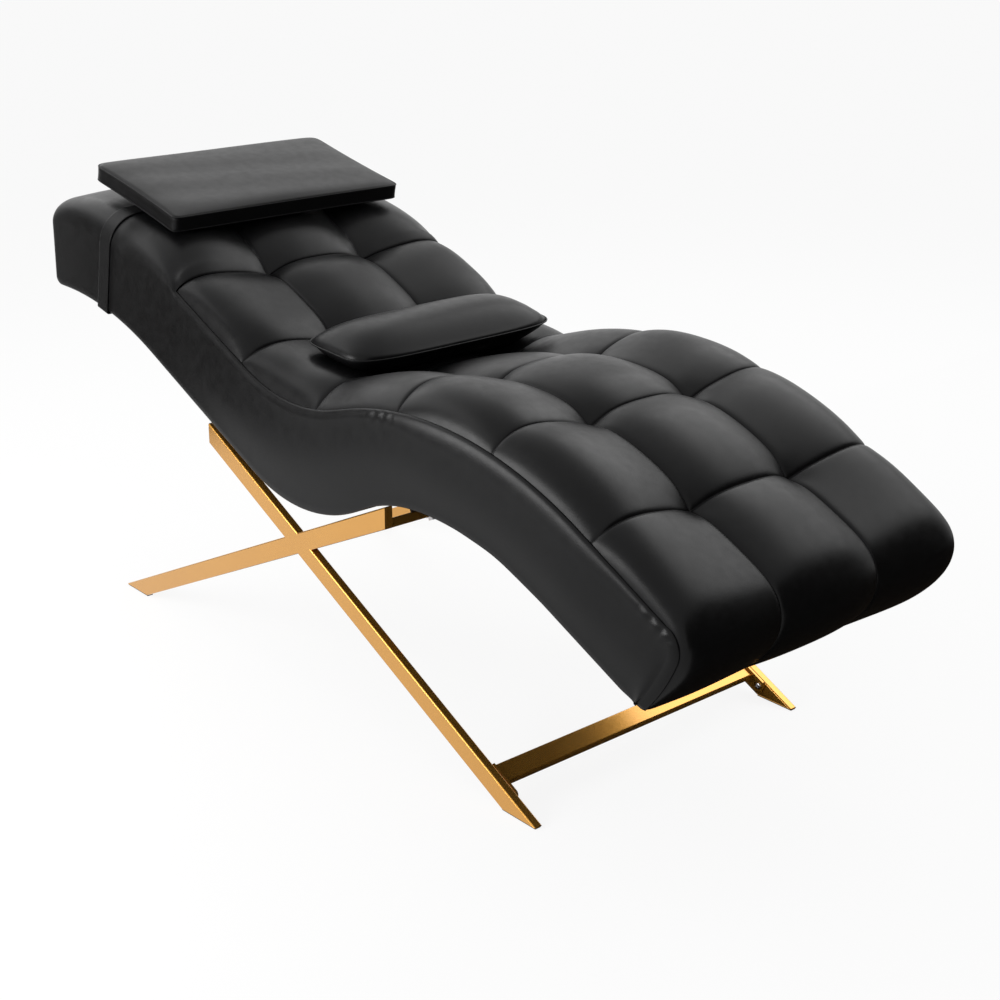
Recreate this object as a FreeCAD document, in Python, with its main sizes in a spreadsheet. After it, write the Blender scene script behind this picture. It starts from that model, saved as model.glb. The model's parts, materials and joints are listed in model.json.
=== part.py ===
import FreeCAD, Part
import Sketcher
import math
import os
from FreeCAD import Placement, Rotation, Vector

# Lash chair: an S-shaped tufted chaise cushion on a crossed tube base, with a strapped head pillow
# and a loose lumbar pillow. The head end is at -X, the foot end at +X, the floor at z = 0.
# Right and left are those of the client who lies on it: right is -Y.

doc = FreeCAD.newDocument("LashChair")
sheet = doc.addObject("Spreadsheet::Sheet", "Sizes")

driving_sizes = [
    # cushion, overall
    ("cushion_width", 650),
    ("panel_thick", 12.5),
    ("head_end_thick", 25),
    ("head_corner_radius", 24),
    ("tuft_pad_thick", 25),
    ("foam_thick", 45),
    ("deck_thick", 9),
    ("board_thick", 18),
    ("rib_thick", 18),
    ("dust_cover_thick", 1.5),
    # side profile at the level of the top side seam: slopes in degrees, lengths between corners
    ("valley_x", -56.5),
    ("valley_height", 528),
    ("head_slope", 12),
    ("back_slope", 23.5),
    ("seat_slope", 16.4),
    ("calf_slope", 26.6),
    ("head_length", 443),
    ("back_length", 438),
    ("seat_length", 485),
    ("calf_length", 535.5),
    ("neck_radius", 380),
    ("valley_radius", 394),
    ("crest_radius", 770),
    ("roll_radius", 35),
    # underside, from the corners of the seam profile
    ("under_head_slope", 0.7),
    ("under_neck_setback", 209.5),
    ("under_neck_depth", 90),
    ("under_valley_shift", 53),
    ("under_valley_depth", 206),
    ("under_crest_shift", -62),
    ("under_crest_depth", 148),
    ("foot_depth", 141),
    ("under_neck_radius", 850),
    ("under_valley_radius", 370),
    ("under_crest_radius", 400),
    # tufts
    ("first_seam_past_neck", 48),
    ("head_round_length", 258),
    ("row_pitch", 233),
    ("column_width", 225),
    ("junction_lift", 10),
    ("seam_arch", 20),
    ("tuft_arch", 20),
    ("edge_rise", 14),
    ("seam_lip", 1),
    ("roll_lift", 3),
    ("roll_arch", 13),
    ("loft_room", 5),
    # head pad
    ("head_crown", 62),
    ("head_shoulder", 50),
    ("head_edge_radius", 62),
    ("head_end_drop", 68),
    ("head_end_inset", 5),
    ("neck_collar_radius", 4),
    ("neck_shoulder_swell", 5),
    ("neck_tuft_swell", 9),
    # base
    ("bar_width", 36),
    ("bar_thick", 16),
    ("bar_wall", 2),
    ("bar_round", 2.5),
    ("leg_inset", 4),
    ("cross_shift", 19.5),
    ("cross_height", 291.5),
    ("long_leg_angle", 25.8),
    ("short_leg_angle", 25.5),
    ("long_leg_top", 282),
    ("short_leg_top", 259.5),
    ("leg_cap_thick", 2),
    ("foot_pad_thick", 3),
    ("foot_pad_margin", 2),
    ("stretcher_reach", 583.5),
    ("stretcher_lift", 4.7),
    ("plate_thick", 4.5),
    ("plate_width", 26),
    ("plate_tail", 32),
    ("plate_corner", 8),
    ("stretcher_bolt_gap", 21.5),
    ("stretcher_bolt_radius", 3),
    ("stretcher_bolt_head_radius", 6.5),
    ("stretcher_bolt_head_height", 4.5),
    ("insert_radius", 4.6),
    ("insert_length", 10),
    ("bolt_end_gap", 1),
    ("rail_drop", 10),
    ("front_rail_reach", 250),
    ("rear_rail_reach", 274),
    # fixing of the cushion to the base
    ("spacer_width", 30),
    ("spacer_length", 60),
    ("spacer_spread", 400),
    ("batten_width", 50),
    ("batten_thick", 30),
    ("mount_bolt_radius", 4),
    ("mount_bolt_head_radius", 7),
    ("mount_bolt_head_height", 5),
    ("washer_radius", 10),
    ("washer_thick", 1.6),
    ("tee_nut_radius", 5.5),
    ("tee_nut_flange_radius", 11),
    ("tee_nut_flange_thick", 1.5),
    ("tee_nut_length", 18),
    ("fastener_gap", 0.25),
    # head pillow and its strap
    ("head_pillow_station", 245),
    ("head_pillow_length", 290),
    ("head_pillow_width", 530),
    ("head_pillow_thick", 30),
    ("head_pillow_crown", 5),
    ("head_pillow_end_crown", 1),
    ("head_pillow_waist", 5),
    ("strap_station", 237),
    ("strap_width", 38),
    ("strap_thick", 2.5),
    ("strap_corner", 76),
    ("strap_travel", 40),
    # lumbar pillow
    ("lumbar_shift", 38.5),
    ("lumbar_half_length", 97),
    ("lumbar_half_width", 240),
    ("lumbar_crown", 38),
    ("lumbar_belly", 21),
    ("lumbar_end_half_length", 60),
    ("lumbar_end_crown", 7.6),
    ("lumbar_end_belly", 4.2),
    ("cover_thick", 2),
    ("filling_gap", 0.3),
    ("soft_gap", 0.5),
    ("rest_gap", 0.3),
]
for row, (alias, value) in enumerate(driving_sizes, start=1):
    sheet.set("A%d" % row, alias)
    sheet.set("B%d" % row, str(value))
    sheet.setAlias("B%d" % row, alias)
doc.recompute()


def size(alias):
    return float(sheet.get(alias))


half_width = size("cushion_width") / 2
core_half = half_width - size("panel_thick")
board_inner = core_half - size("board_thick")
tuft_depth = size("tuft_pad_thick")
deck_depth = tuft_depth + size("foam_thick")
frame_depth = deck_depth + size("deck_thick")
dust = size("dust_cover_thick")
up_y = Vector(0, 1, 0)
nodes = []


def node(obj, label):
    obj.Label = label
    nodes.append(obj)
    return obj


def shaped(label, shape):
    feature = doc.addObject("Part::Feature", label)
    feature.Shape = shape
    return node(feature, label)


# Side profile in the XZ plane: lines, offsets and rounded corners

def heading(degrees):
    angle = math.radians(degrees)
    return Vector(math.cos(angle), 0, math.sin(angle))


def below(direction):
    return Vector(direction.z, 0, -direction.x)


def line_through(start, end):
    return (start, (end - start).normalize())


def lowered(line, depth):
    return (line[0] + below(line[1]) * depth, line[1])


def meet(first, second):
    p, u = first
    q, v = second
    cross = u.x * v.z - u.z * v.x
    along = ((q.x - p.x) * v.z - (q.z - p.z) * v.x) / cross
    return p + u * along


side_share = 0.98


def rounded_edges(corners, radii, closed=True):
    count = len(corners)
    halves, cuts = [], []
    for i, radius in enumerate(radii):
        if radius <= 0:
            halves.append(0.0)
            cuts.append(0.0)
            continue
        to_last = corners[i - 1] - corners[i]
        to_next = corners[(i + 1) % count] - corners[i]
        halves.append(to_last.getAngle(to_next) / 2)
        cuts.append(radius / math.tan(halves[i]))
    # Neighbouring roundings share the length of the side between them.
    shares = [1.0] * count
    for i in range(count):
        after = (i + 1) % count
        side = (corners[after] - corners[i]).Length
        wanted = cuts[i] + cuts[after]
        if wanted > side_share * side:
            shares[i] = min(shares[i], side_share * side / wanted)
            shares[after] = min(shares[after], side_share * side / wanted)
    enter, leave, middle = list(corners), list(corners), [None] * count
    for i in range(count):
        cut = cuts[i] * shares[i]
        if cut <= 0:
            continue
        to_last = (corners[i - 1] - corners[i]).normalize()
        to_next = (corners[(i + 1) % count] - corners[i]).normalize()
        radius = cut * math.tan(halves[i])
        inward = (to_last + to_next).normalize()
        enter[i] = corners[i] + to_last * cut
        leave[i] = corners[i] + to_next * cut
        middle[i] = corners[i] + inward * (radius / math.sin(halves[i]) - radius)
    edges = []
    for i in range(count):
        if middle[i] is not None:
            edges.append(Part.Arc(enter[i], middle[i], leave[i]).toShape())
        if closed or i < count - 1:
            edges.append(Part.LineSegment(leave[i], enter[(i + 1) % count]).toShape())
    return edges


head_way = heading(-size("head_slope"))
back_way = heading(-size("back_slope"))
seat_way = heading(size("seat_slope"))
calf_way = heading(-size("calf_slope"))

valley = Vector(size("valley_x"), 0, size("valley_height"))
neck = valley - back_way * size("back_length")
crest = valley + seat_way * size("seat_length")
foot = crest + calf_way * size("calf_length")
head_end = neck - head_way * size("head_length")
head_x = head_end.x
first_seam = size("head_length") + size("first_seam_past_neck")
under_foot = foot + below(calf_way) * size("foot_depth")
under_crest = crest + Vector(size("under_crest_shift"), 0, -size("under_crest_depth"))
under_valley = valley + Vector(size("under_valley_shift"), 0, -size("under_valley_depth"))
under_neck = neck + Vector(-size("under_neck_setback"), 0, -size("under_neck_depth"))

head_line = (neck, head_way)
back_line = (neck, back_way)
seat_line = (valley, seat_way)
calf_line = (crest, calf_way)
foot_line = (foot, below(calf_way))
under_head_line = (under_neck, heading(-size("under_head_slope")))
under_back_line = line_through(under_neck, under_valley)
under_seat_line = line_through(under_valley, under_crest)
under_calf_line = line_through(under_crest, under_foot)


def upright_at(x):
    return (Vector(x, 0, 0), Vector(0, 0, 1))


def top_corners(depth):
    return [
        meet(lowered(head_line, depth), lowered(back_line, depth)),
        meet(lowered(back_line, depth), lowered(seat_line, depth)),
        meet(lowered(seat_line, depth), lowered(calf_line, depth)),
    ]


def top_radii(depth):
    return [size("neck_radius") - depth, size("valley_radius") + depth, size("crest_radius") - depth]


def under_corners(lift):
    return [
        meet(lowered(under_calf_line, -lift), lowered(under_seat_line, -lift)),
        meet(lowered(under_seat_line, -lift), lowered(under_back_line, -lift)),
        meet(lowered(under_back_line, -lift), lowered(under_head_line, -lift)),
    ]


def under_radii(lift):
    return [
        size("under_crest_radius") + lift,
        size("under_valley_radius") - lift,
        size("under_neck_radius") + lift,
    ]


def foot_corner(depth, back):
    return meet(lowered(calf_line, depth), lowered(foot_line, back))


def foot_bottom(back, lift):
    return meet(lowered(foot_line, back), lowered(under_calf_line, -lift))


def head_top(x, depth):
    return meet(upright_at(x), lowered(head_line, depth))


def head_bottom(x, lift):
    return meet(upright_at(x), lowered(under_head_line, -lift))


# Stations along the seam profile, measured from the head end

seam_path = rounded_edges(
    [head_end] + top_corners(0) + [foot, under_foot],
    [0.0] + top_radii(0) + [size("roll_radius"), 0.0],
    closed=False,
)
path_length = sum(edge.Length for edge in seam_path)


def station(along):
    left = along
    for edge in seam_path:
        if left <= edge.Length or edge is seam_path[-1]:
            break
        left -= edge.Length
    at = edge.getParameterByLength(min(left, edge.Length))
    tangent = edge.tangentAt(at)
    return edge.valueAt(at), Vector(-tangent.z, 0, tangent.x)


def in_section(frame, y, height):
    point, normal = frame
    return point + normal * height + up_y * y


def line_edge(a, b):
    return Part.LineSegment(a, b).toShape()


def arc_edge(a, m, b):
    return Part.Arc(a, m, b).toShape()


def first_seam_point(depth):
    return in_section(station(first_seam), 0, -depth)


def block_outline(depth, back, lift, start_x, head_radius=0.0, roll=0.0):
    corners = [head_top(start_x, depth)] + top_corners(depth)
    radii = [0.0] + top_radii(depth)
    corners += [foot_corner(depth, back), foot_bottom(back, lift)]
    radii += [roll, 0.0]
    corners += under_corners(lift) + [head_bottom(start_x, lift)]
    radii += under_radii(lift) + [head_radius]
    return corners, radii


def face_of(corners, radii):
    return Part.Face(Part.Wire(rounded_edges(corners, radii)))


def slab(corners, radii, half):
    face = face_of(corners, radii)
    face.translate(Vector(0, -half, 0))
    return face.extrude(Vector(0, 2 * half, 0))


def outline_sketch(name, corners, radii):
    sketch = doc.addObject("Sketcher::SketchObject", name + "_outline")
    for edge in rounded_edges(corners, radii):
        sketch.addGeometry(flat_curve(edge))
    sketch.Placement = Placement(Vector(0, 0, 0), Rotation(Vector(1, 0, 0), 90))
    return sketch


def flat_curve(edge):
    ends = [edge.valueAt(edge.FirstParameter), edge.valueAt(edge.LastParameter)]
    a, b = [Vector(p.x, p.z, 0) for p in ends]
    if edge.Curve.TypeId == "Part::GeomLine":
        return Part.LineSegment(a, b)
    mid = edge.valueAt((edge.FirstParameter + edge.LastParameter) / 2)
    return Part.Arc(a, Vector(mid.x, mid.z, 0), b)


def extruded(label, corners, radii, start_y, length):
    sketch = outline_sketch(label, corners, radii)
    sketch.setExpression("Placement.Base.y", start_y)
    prism = doc.addObject("Part::Extrusion", label)
    prism.Base = sketch
    prism.DirMode = "Custom"
    prism.Dir = up_y
    prism.Solid = True
    prism.FaceMakerClass = "Part::FaceMakerBullseye"
    prism.setExpression("LengthFwd", length)
    return prism


# Cushion frame: boards, ribs, deck and mount battens

core_span = "Sizes.cushion_width - 2 * Sizes.panel_thick"
core_start = "-Sizes.cushion_width / 2 + Sizes.panel_thick"
frame_x = head_x + size("head_end_thick")

board_corners, board_radii = block_outline(frame_depth, deck_depth, dust, frame_x)
board_starts = {
    "right": core_start,
    "left": "Sizes.cushion_width / 2 - Sizes.panel_thick - Sizes.board_thick",
}
for side, start in board_starts.items():
    label = side + "_side_board"
    node(extruded(label, board_corners, board_radii, start, "Sizes.board_thick"), label)

frame_space = slab(board_corners, board_radii, board_inner)
rib_reach = size("under_crest_depth") + size("under_valley_depth")
rows_to_valley_rib = 1.6
rows_to_crest_rib = 3.5
rib_stations = {
    "head_rib": size("head_end_thick") + frame_depth,
    "neck_rib": size("head_length") - size("under_neck_depth"),
    "valley_rib": first_seam + rows_to_valley_rib * size("row_pitch"),
    "crest_rib": first_seam + rows_to_crest_rib * size("row_pitch"),
}
for label, along in rib_stations.items():
    point, normal = station(along)
    box = Part.makeBox(size("rib_thick"), 2 * half_width, 2 * rib_reach)
    box.Placement = Placement(
        point - normal * rib_reach - up_y * half_width,
        Rotation(below(normal), up_y, normal, "ZXY"),
    )
    shaped(label, frame_space.common(box))

foot_rib_front = foot_corner(frame_depth, deck_depth)
foot_rib_back = foot_corner(frame_depth, deck_depth + size("rib_thick"))
foot_rib_corners = [
    foot_rib_back,
    foot_rib_front,
    foot_bottom(deck_depth, dust),
    foot_bottom(deck_depth + size("rib_thick"), dust),
]
inner_span = core_span + " - 2 * Sizes.board_thick"
inner_start = core_start + " + Sizes.board_thick"
node(extruded("foot_rib", foot_rib_corners, [0.0] * 4, inner_start, inner_span), "foot_rib")

deck_corners = [head_top(frame_x, deck_depth)] + top_corners(deck_depth)
deck_radii = [0.0] + top_radii(deck_depth) + [0.0, 0.0]
deck_corners += [foot_corner(deck_depth, deck_depth), foot_corner(frame_depth, deck_depth)]
deck_corners += list(reversed(top_corners(frame_depth))) + [head_top(frame_x, frame_depth)]
deck_radii += list(reversed(top_radii(frame_depth))) + [0.0]
node(extruded("plywood_deck", deck_corners, deck_radii, core_start, core_span), "plywood_deck")

# Soft layers: foam, tufted top, head pad, end and side panels, dust cover

roll_inner = max(size("roll_radius") - tuft_depth, 0.0)
foam_corners = [first_seam_point(tuft_depth)] + top_corners(tuft_depth)[1:]
foam_radii = [0.0] + top_radii(tuft_depth)[1:] + [roll_inner, 0.0, 0.0, 0.0]
foam_corners += [foot_corner(tuft_depth, tuft_depth), foot_bottom(tuft_depth, dust)]
foam_corners += [foot_bottom(deck_depth, dust), foot_corner(deck_depth, deck_depth)]
foam_corners += list(reversed(top_corners(deck_depth)[1:])) + [first_seam_point(deck_depth)]
foam_radii += list(reversed(top_radii(deck_depth)[1:])) + [0.0]
node(extruded("foam_core", foam_corners, foam_radii, core_start, core_span), "foam_core")

dust_corners = [head_bottom(frame_x, dust)] + list(reversed(under_corners(dust)))
dust_radii = [0.0] + list(reversed(under_radii(dust))) + [0.0, 0.0]
dust_corners += [foot_bottom(tuft_depth, dust), foot_bottom(tuft_depth, 0)]
dust_corners += under_corners(0) + [head_bottom(frame_x, 0)]
dust_radii += under_radii(0) + [0.0]
dust_cover = extruded("dust_cover_sheet", dust_corners, dust_radii, core_start, core_span)

end_corners = [
    head_top(head_x, deck_depth),
    head_top(frame_x, deck_depth),
    head_bottom(frame_x, 0),
    head_bottom(head_x, 0),
]
end_radii = [0.0, 0.0, 0.0, size("head_corner_radius")]
node(extruded("head_end_panel", end_corners, end_radii, core_start, core_span), "head_end_panel")

panel_corners = [head_top(head_x, deck_depth), top_corners(deck_depth)[0]]
panel_corners += [first_seam_point(deck_depth), first_seam_point(0)] + top_corners(0)[1:]
panel_radii = [0.0, top_radii(deck_depth)[0], 0.0, 0.0] + top_radii(0)[1:]
panel_corners += [foot, under_foot] + under_corners(0) + [head_bottom(head_x, 0)]
panel_radii += [size("roll_radius"), 0.0] + under_radii(0) + [size("head_corner_radius")]
right_start = "-Sizes.cushion_width / 2"
left_start = "Sizes.cushion_width / 2 - Sizes.panel_thick"
for side, start in (("right", right_start), ("left", left_start)):
    label = side + "_side_panel"
    node(extruded(label, panel_corners, panel_radii, start, "Sizes.panel_thick"), label)

column_edge = size("column_width") / 2
seam_arch = size("seam_arch")
junction_lift = size("junction_lift")
seam_lip = size("seam_lip")
loft_skirt = tuft_depth + size("loft_room")


def between(start, end, share):
    return start + (end - start) * share


def swell(share):
    return 4 * share * (1 - share)


def steps(count):
    return [i / count for i in range(count + 1)]


def tuft_section(along, seam_lift, arch, rise):
    frame = station(along)

    def at(y, height):
        return in_section(frame, y, height)

    outer_y = (half_width + column_edge) / 2
    outer_height = (rise + seam_lift) / 2 + arch
    edges = [
        line_edge(at(-half_width, -loft_skirt), at(half_width, -loft_skirt)),
        line_edge(at(half_width, -loft_skirt), at(half_width, rise)),
        arc_edge(at(half_width, rise), at(outer_y, outer_height), at(column_edge, seam_lift)),
        arc_edge(at(column_edge, seam_lift), at(0, seam_lift + arch), at(-column_edge, seam_lift)),
        arc_edge(at(-column_edge, seam_lift), at(-outer_y, outer_height), at(-half_width, rise)),
        line_edge(at(-half_width, rise), at(-half_width, -loft_skirt)),
    ]
    return Part.Wire(edges)


# Tufts stand fullest in the valley and on the crest of the seat and lie flatter towards the foot.
row_puffs = [1.0, 1.15, 1.15, 0.9, 0.65]
foot_puff = 0.6
row_bands = 6
sections = []
for row, puff in enumerate(row_puffs):
    for share in steps(row_bands)[:-1]:
        full = swell(share)
        sections.append(tuft_section(
            first_seam + (row + share) * size("row_pitch"),
            junction_lift + full * puff * seam_arch,
            between(seam_arch, puff * size("tuft_arch"), full),
            between(seam_lip, puff * size("edge_rise"), full),
        ))

# The last row goes down the calf slope, over the roll and down the foot end to the bottom edge.
last_seam = first_seam + len(row_puffs) * size("row_pitch")
face_run = size("foot_depth") - size("roll_radius")
roll_run = size("roll_radius") * math.pi / 2
roll_start = path_length - face_run - roll_run
for share in steps(row_bands):
    full = swell(share)
    sections.append(tuft_section(
        between(last_seam, roll_start, share),
        between(junction_lift, size("roll_lift"), share) + full * foot_puff * seam_arch,
        between(seam_arch, size("roll_arch"), share),
        between(seam_lip, foot_puff * size("edge_rise"), full),
    ))
roll_bands = 4
for share in steps(roll_bands)[1:]:
    along = roll_start + share * roll_run
    sections.append(tuft_section(along, size("roll_lift"), size("roll_arch"), seam_lip))
for share in steps(roll_bands)[1:]:
    sections.append(tuft_section(
        path_length - face_run * (1 - share),
        between(size("roll_lift"), seam_lip, share ** 2),
        between(size("roll_arch"), seam_lip, share ** 2),
        seam_lip,
    ))
tufts = Part.makeLoft(sections, True, True)
core_corners, core_radii = block_outline(tuft_depth, tuft_depth, -loft_skirt, head_x, 0.0, roll_inner)
tufts = tufts.cut(slab(core_corners, core_radii, half_width))
below_foot = Part.makeBox(size("calf_length"), 2 * half_width, 2 * loft_skirt)
below_foot.Placement = Placement(
    under_foot - calf_way * size("calf_length") / 2 - up_y * half_width + below(calf_way) * 2 * loft_skirt,
    Rotation(calf_way, up_y, below(calf_way) * -1, "ZXY"),
)
tufts = tufts.cut(below_foot)
for sign in (-1, 1):
    panel_room = face_of(panel_corners, panel_radii)
    panel_room.translate(up_y * (sign * core_half))
    tufts = tufts.cut(panel_room.extrude(up_y * (sign * 2 * size("panel_thick"))))
tufted_top = shaped("tufted_top", tufts)


def head_section(frame, half, corner, shoulder, seam_lift, arch):
    def at(y, height):
        return in_section(frame, y, height)

    wall = shoulder - corner
    inner = half - corner
    bend = corner * math.sqrt(0.5)
    outer_y = (inner + column_edge) / 2
    outer_height = (shoulder + seam_lift) / 2 + arch
    skirt = deck_depth + size("loft_room")
    edges = [
        line_edge(at(-half, -skirt), at(half, -skirt)),
        line_edge(at(half, -skirt), at(half, wall)),
        arc_edge(at(half, wall), at(inner + bend, wall + bend), at(inner, shoulder)),
        arc_edge(at(inner, shoulder), at(outer_y, outer_height), at(column_edge, seam_lift)),
        arc_edge(at(column_edge, seam_lift), at(0, seam_lift + arch), at(-column_edge, seam_lift)),
        arc_edge(at(-column_edge, seam_lift), at(-outer_y, outer_height), at(-inner, shoulder)),
        arc_edge(at(-inner, shoulder), at(-inner - bend, wall + bend), at(-half, wall)),
        line_edge(at(-half, wall), at(-half, -skirt)),
    ]
    return Part.Wire(edges)


def plain_head_section(frame, inset, drop, corner):
    half = half_width - inset
    shoulder = size("head_shoulder") - drop
    crown = size("head_crown") - drop
    arch = (crown - shoulder) * (column_edge / (half - corner)) ** 2
    return head_section(frame, half, corner, shoulder, crown - arch, arch)


# The head pad rounds over to the head end, lies level under the strap and runs out at the first seam.
edge_radius = size("head_edge_radius")
strap_room = size("strap_width") / 2 + size("strap_travel")
crown_run = size("head_round_length")
strap_end = max(size("strap_station") + strap_room, crown_run)
end_power = 2 / 1.85
end_bands = 9
head_sections = []
for share in steps(end_bands):
    turn = math.radians(90 * share)
    lean = math.radians(size("head_slope")) * math.sin(turn)
    along = crown_run * (1 - math.cos(turn) ** end_power)
    drop = size("head_end_drop") * (1 - math.sin(turn) ** end_power)
    inset = size("head_end_inset") * (1 - math.sin(turn)) ** 4
    frame = (station(along)[0], Vector(math.sin(lean), 0, math.cos(lean)))
    head_sections.append(plain_head_section(frame, inset, drop, edge_radius * (1 + math.sin(turn)) / 2))
crown_arch = (size("head_crown") - size("head_shoulder")) * (column_edge / (half_width - edge_radius)) ** 2
for share in steps(row_bands):
    full = swell(share)
    head_sections.append(head_section(
        station(between(strap_end, first_seam, share)),
        half_width,
        between(edge_radius, size("neck_collar_radius"), share),
        between(size("head_shoulder"), seam_lip, share) + full * size("neck_shoulder_swell"),
        between(size("head_crown") - crown_arch, junction_lift, share),
        between(crown_arch, seam_arch, share) + full * size("neck_tuft_swell"),
    ))
head_loft = Part.makeLoft(head_sections, True, True)
deck_corners_full, deck_radii_full = block_outline(deck_depth, deck_depth, -loft_skirt, head_x - half_width)
shaped("head_pad", head_loft.cut(slab(deck_corners_full, deck_radii_full, 2 * half_width)))

# Base: tube legs, caps, pads, stretcher and rails

leg_outer = half_width - size("leg_inset")
leg_middle = leg_outer - size("bar_thick") / 2
leg_inner = leg_outer - size("bar_thick")
crossing = Vector(size("valley_x") + size("cross_shift"), 0, size("cross_height"))
long_way = heading(-size("long_leg_angle"))
short_way = heading(size("short_leg_angle"))
long_normal = below(long_way) * -1
short_normal = below(short_way) * -1


def origin_plane(body, role):
    return [f for f in body.Origin.OriginFeatures if f.Role == role][0]


def add_rectangle(sketch, name, wide, tall_side):
    first = sketch.GeometryCount
    corners = [Vector(-1, -2, 0), Vector(1, -2, 0), Vector(1, 2, 0), Vector(-1, 2, 0)]
    for a, b in zip(corners, corners[1:] + corners[:1]):
        sketch.addGeometry(Part.LineSegment(a, b))
    for i in range(4):
        sketch.addConstraint(Sketcher.Constraint("Coincident", first + i, 2, first + (i + 1) % 4, 1))
    for i in (0, 2):
        sketch.addConstraint(Sketcher.Constraint("Horizontal", first + i))
    for i in (1, 3):
        sketch.addConstraint(Sketcher.Constraint("Vertical", first + i))
    sketch.addConstraint(Sketcher.Constraint("Symmetric", first, 1, first + 2, 1, -1, 1))
    across = sketch.addConstraint(Sketcher.Constraint("DistanceX", first, 1, first, 2, 2.0))
    sketch.renameConstraint(across, name + "_across")
    along = sketch.addConstraint(Sketcher.Constraint("DistanceY", first + 1, 1, first + 1, 2, 4.0))
    sketch.renameConstraint(along, name + "_along")
    sketch.setExpression("Constraints." + name + "_across", wide)
    sketch.setExpression("Constraints." + name + "_along", tall_side)


def bar(name, start, length, hollow=True):
    body = doc.addObject("PartDesign::Body", name)
    sketch = body.newObject("Sketcher::SketchObject", name + "_section")
    sketch.AttachmentSupport = [(origin_plane(body, "YZ_Plane"), "")]
    sketch.MapMode = "FlatFace"
    sketch.setExpression("AttachmentOffset.Base.z", start)
    add_rectangle(sketch, "outer", "Sizes.bar_thick", "Sizes.bar_width")
    if hollow:
        inner = "Sizes.bar_%s - 2 * Sizes.bar_wall"
        add_rectangle(sketch, "inner", inner % "thick", inner % "width")
    pad = body.newObject("PartDesign::Pad", name + "_stock")
    pad.Profile = sketch
    pad.setExpression("Length", length)
    doc.recompute()
    edge_names = []
    for i, edge in enumerate(pad.Shape.Edges, start=1):
        p = edge.CenterOfMass
        lengthwise = abs(edge.tangentAt(edge.FirstParameter).x) > 0.9
        on_side = abs(abs(p.y) - size("bar_thick") / 2) < 1e-6
        on_face = abs(abs(p.z) - size("bar_width") / 2) < 1e-6
        if lengthwise and on_side and on_face:
            edge_names.append("Edge%d" % i)
    rounding = body.newObject("PartDesign::Fillet", name + "_rounding")
    rounding.Base = (pad, edge_names)
    rounding.setExpression("Radius", "Sizes.bar_round")
    doc.recompute()
    return body


def turned(origin, x_way, z_way):
    return Placement(origin, Rotation(x_way, z_way.cross(x_way), z_way, "XZY"))


def block(name, low, high):
    box = doc.addObject("Part::Box", name)
    box.Length, box.Width, box.Height = high.x - low.x, high.y - low.y, high.z - low.z
    box.Placement = Placement(low, Rotation())
    return box


def cut_from(label, base, tools):
    cutter = tools[0]
    if len(tools) > 1:
        cutter = doc.addObject("Part::MultiFuse", label + "_cutter")
        cutter.Shapes = tools
    result = doc.addObject("Part::Cut", label)
    result.Base = base
    result.Tool = cutter
    return result


def common_of(label, base, tool):
    result = doc.addObject("Part::Common", label)
    result.Base = base
    result.Tool = tool
    return result


room = size("calf_length") * 4
floor_level = size("foot_pad_thick")
long_cut = crossing.x - size("long_leg_top")
short_cut = crossing.x + size("short_leg_top")
cap = size("leg_cap_thick")
floor_block = block("floor_block", Vector(-room, -room, -room), Vector(room, room, floor_level))
rear_block = block("rear_block", Vector(-room, -room, 0), Vector(long_cut + cap, room, room))
front_block = block("front_block", Vector(short_cut - cap, -room, 0), Vector(room, room, room))
rear_slice = block("rear_slice", Vector(long_cut, -room, 0), Vector(long_cut + cap, room, room))
front_slice = block("front_slice", Vector(short_cut - cap, -room, 0), Vector(short_cut, room, room))

long_top_run = "(Sizes.long_leg_top / cos(Sizes.long_leg_angle * 1deg) + Sizes.bar_width)"
long_foot_run = "(Sizes.cross_height / sin(Sizes.long_leg_angle * 1deg) + 2 * Sizes.bar_width)"
short_top_run = "(Sizes.short_leg_top / cos(Sizes.short_leg_angle * 1deg) + Sizes.bar_width)"
short_foot_run = "(Sizes.cross_height / sin(Sizes.short_leg_angle * 1deg) + 2 * Sizes.bar_width)"
bolt_along = size("stretcher_reach") + size("bar_width") / 2 + size("stretcher_bolt_gap")
bolt_spot = crossing + long_way * bolt_along + long_normal * size("stretcher_lift")

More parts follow.
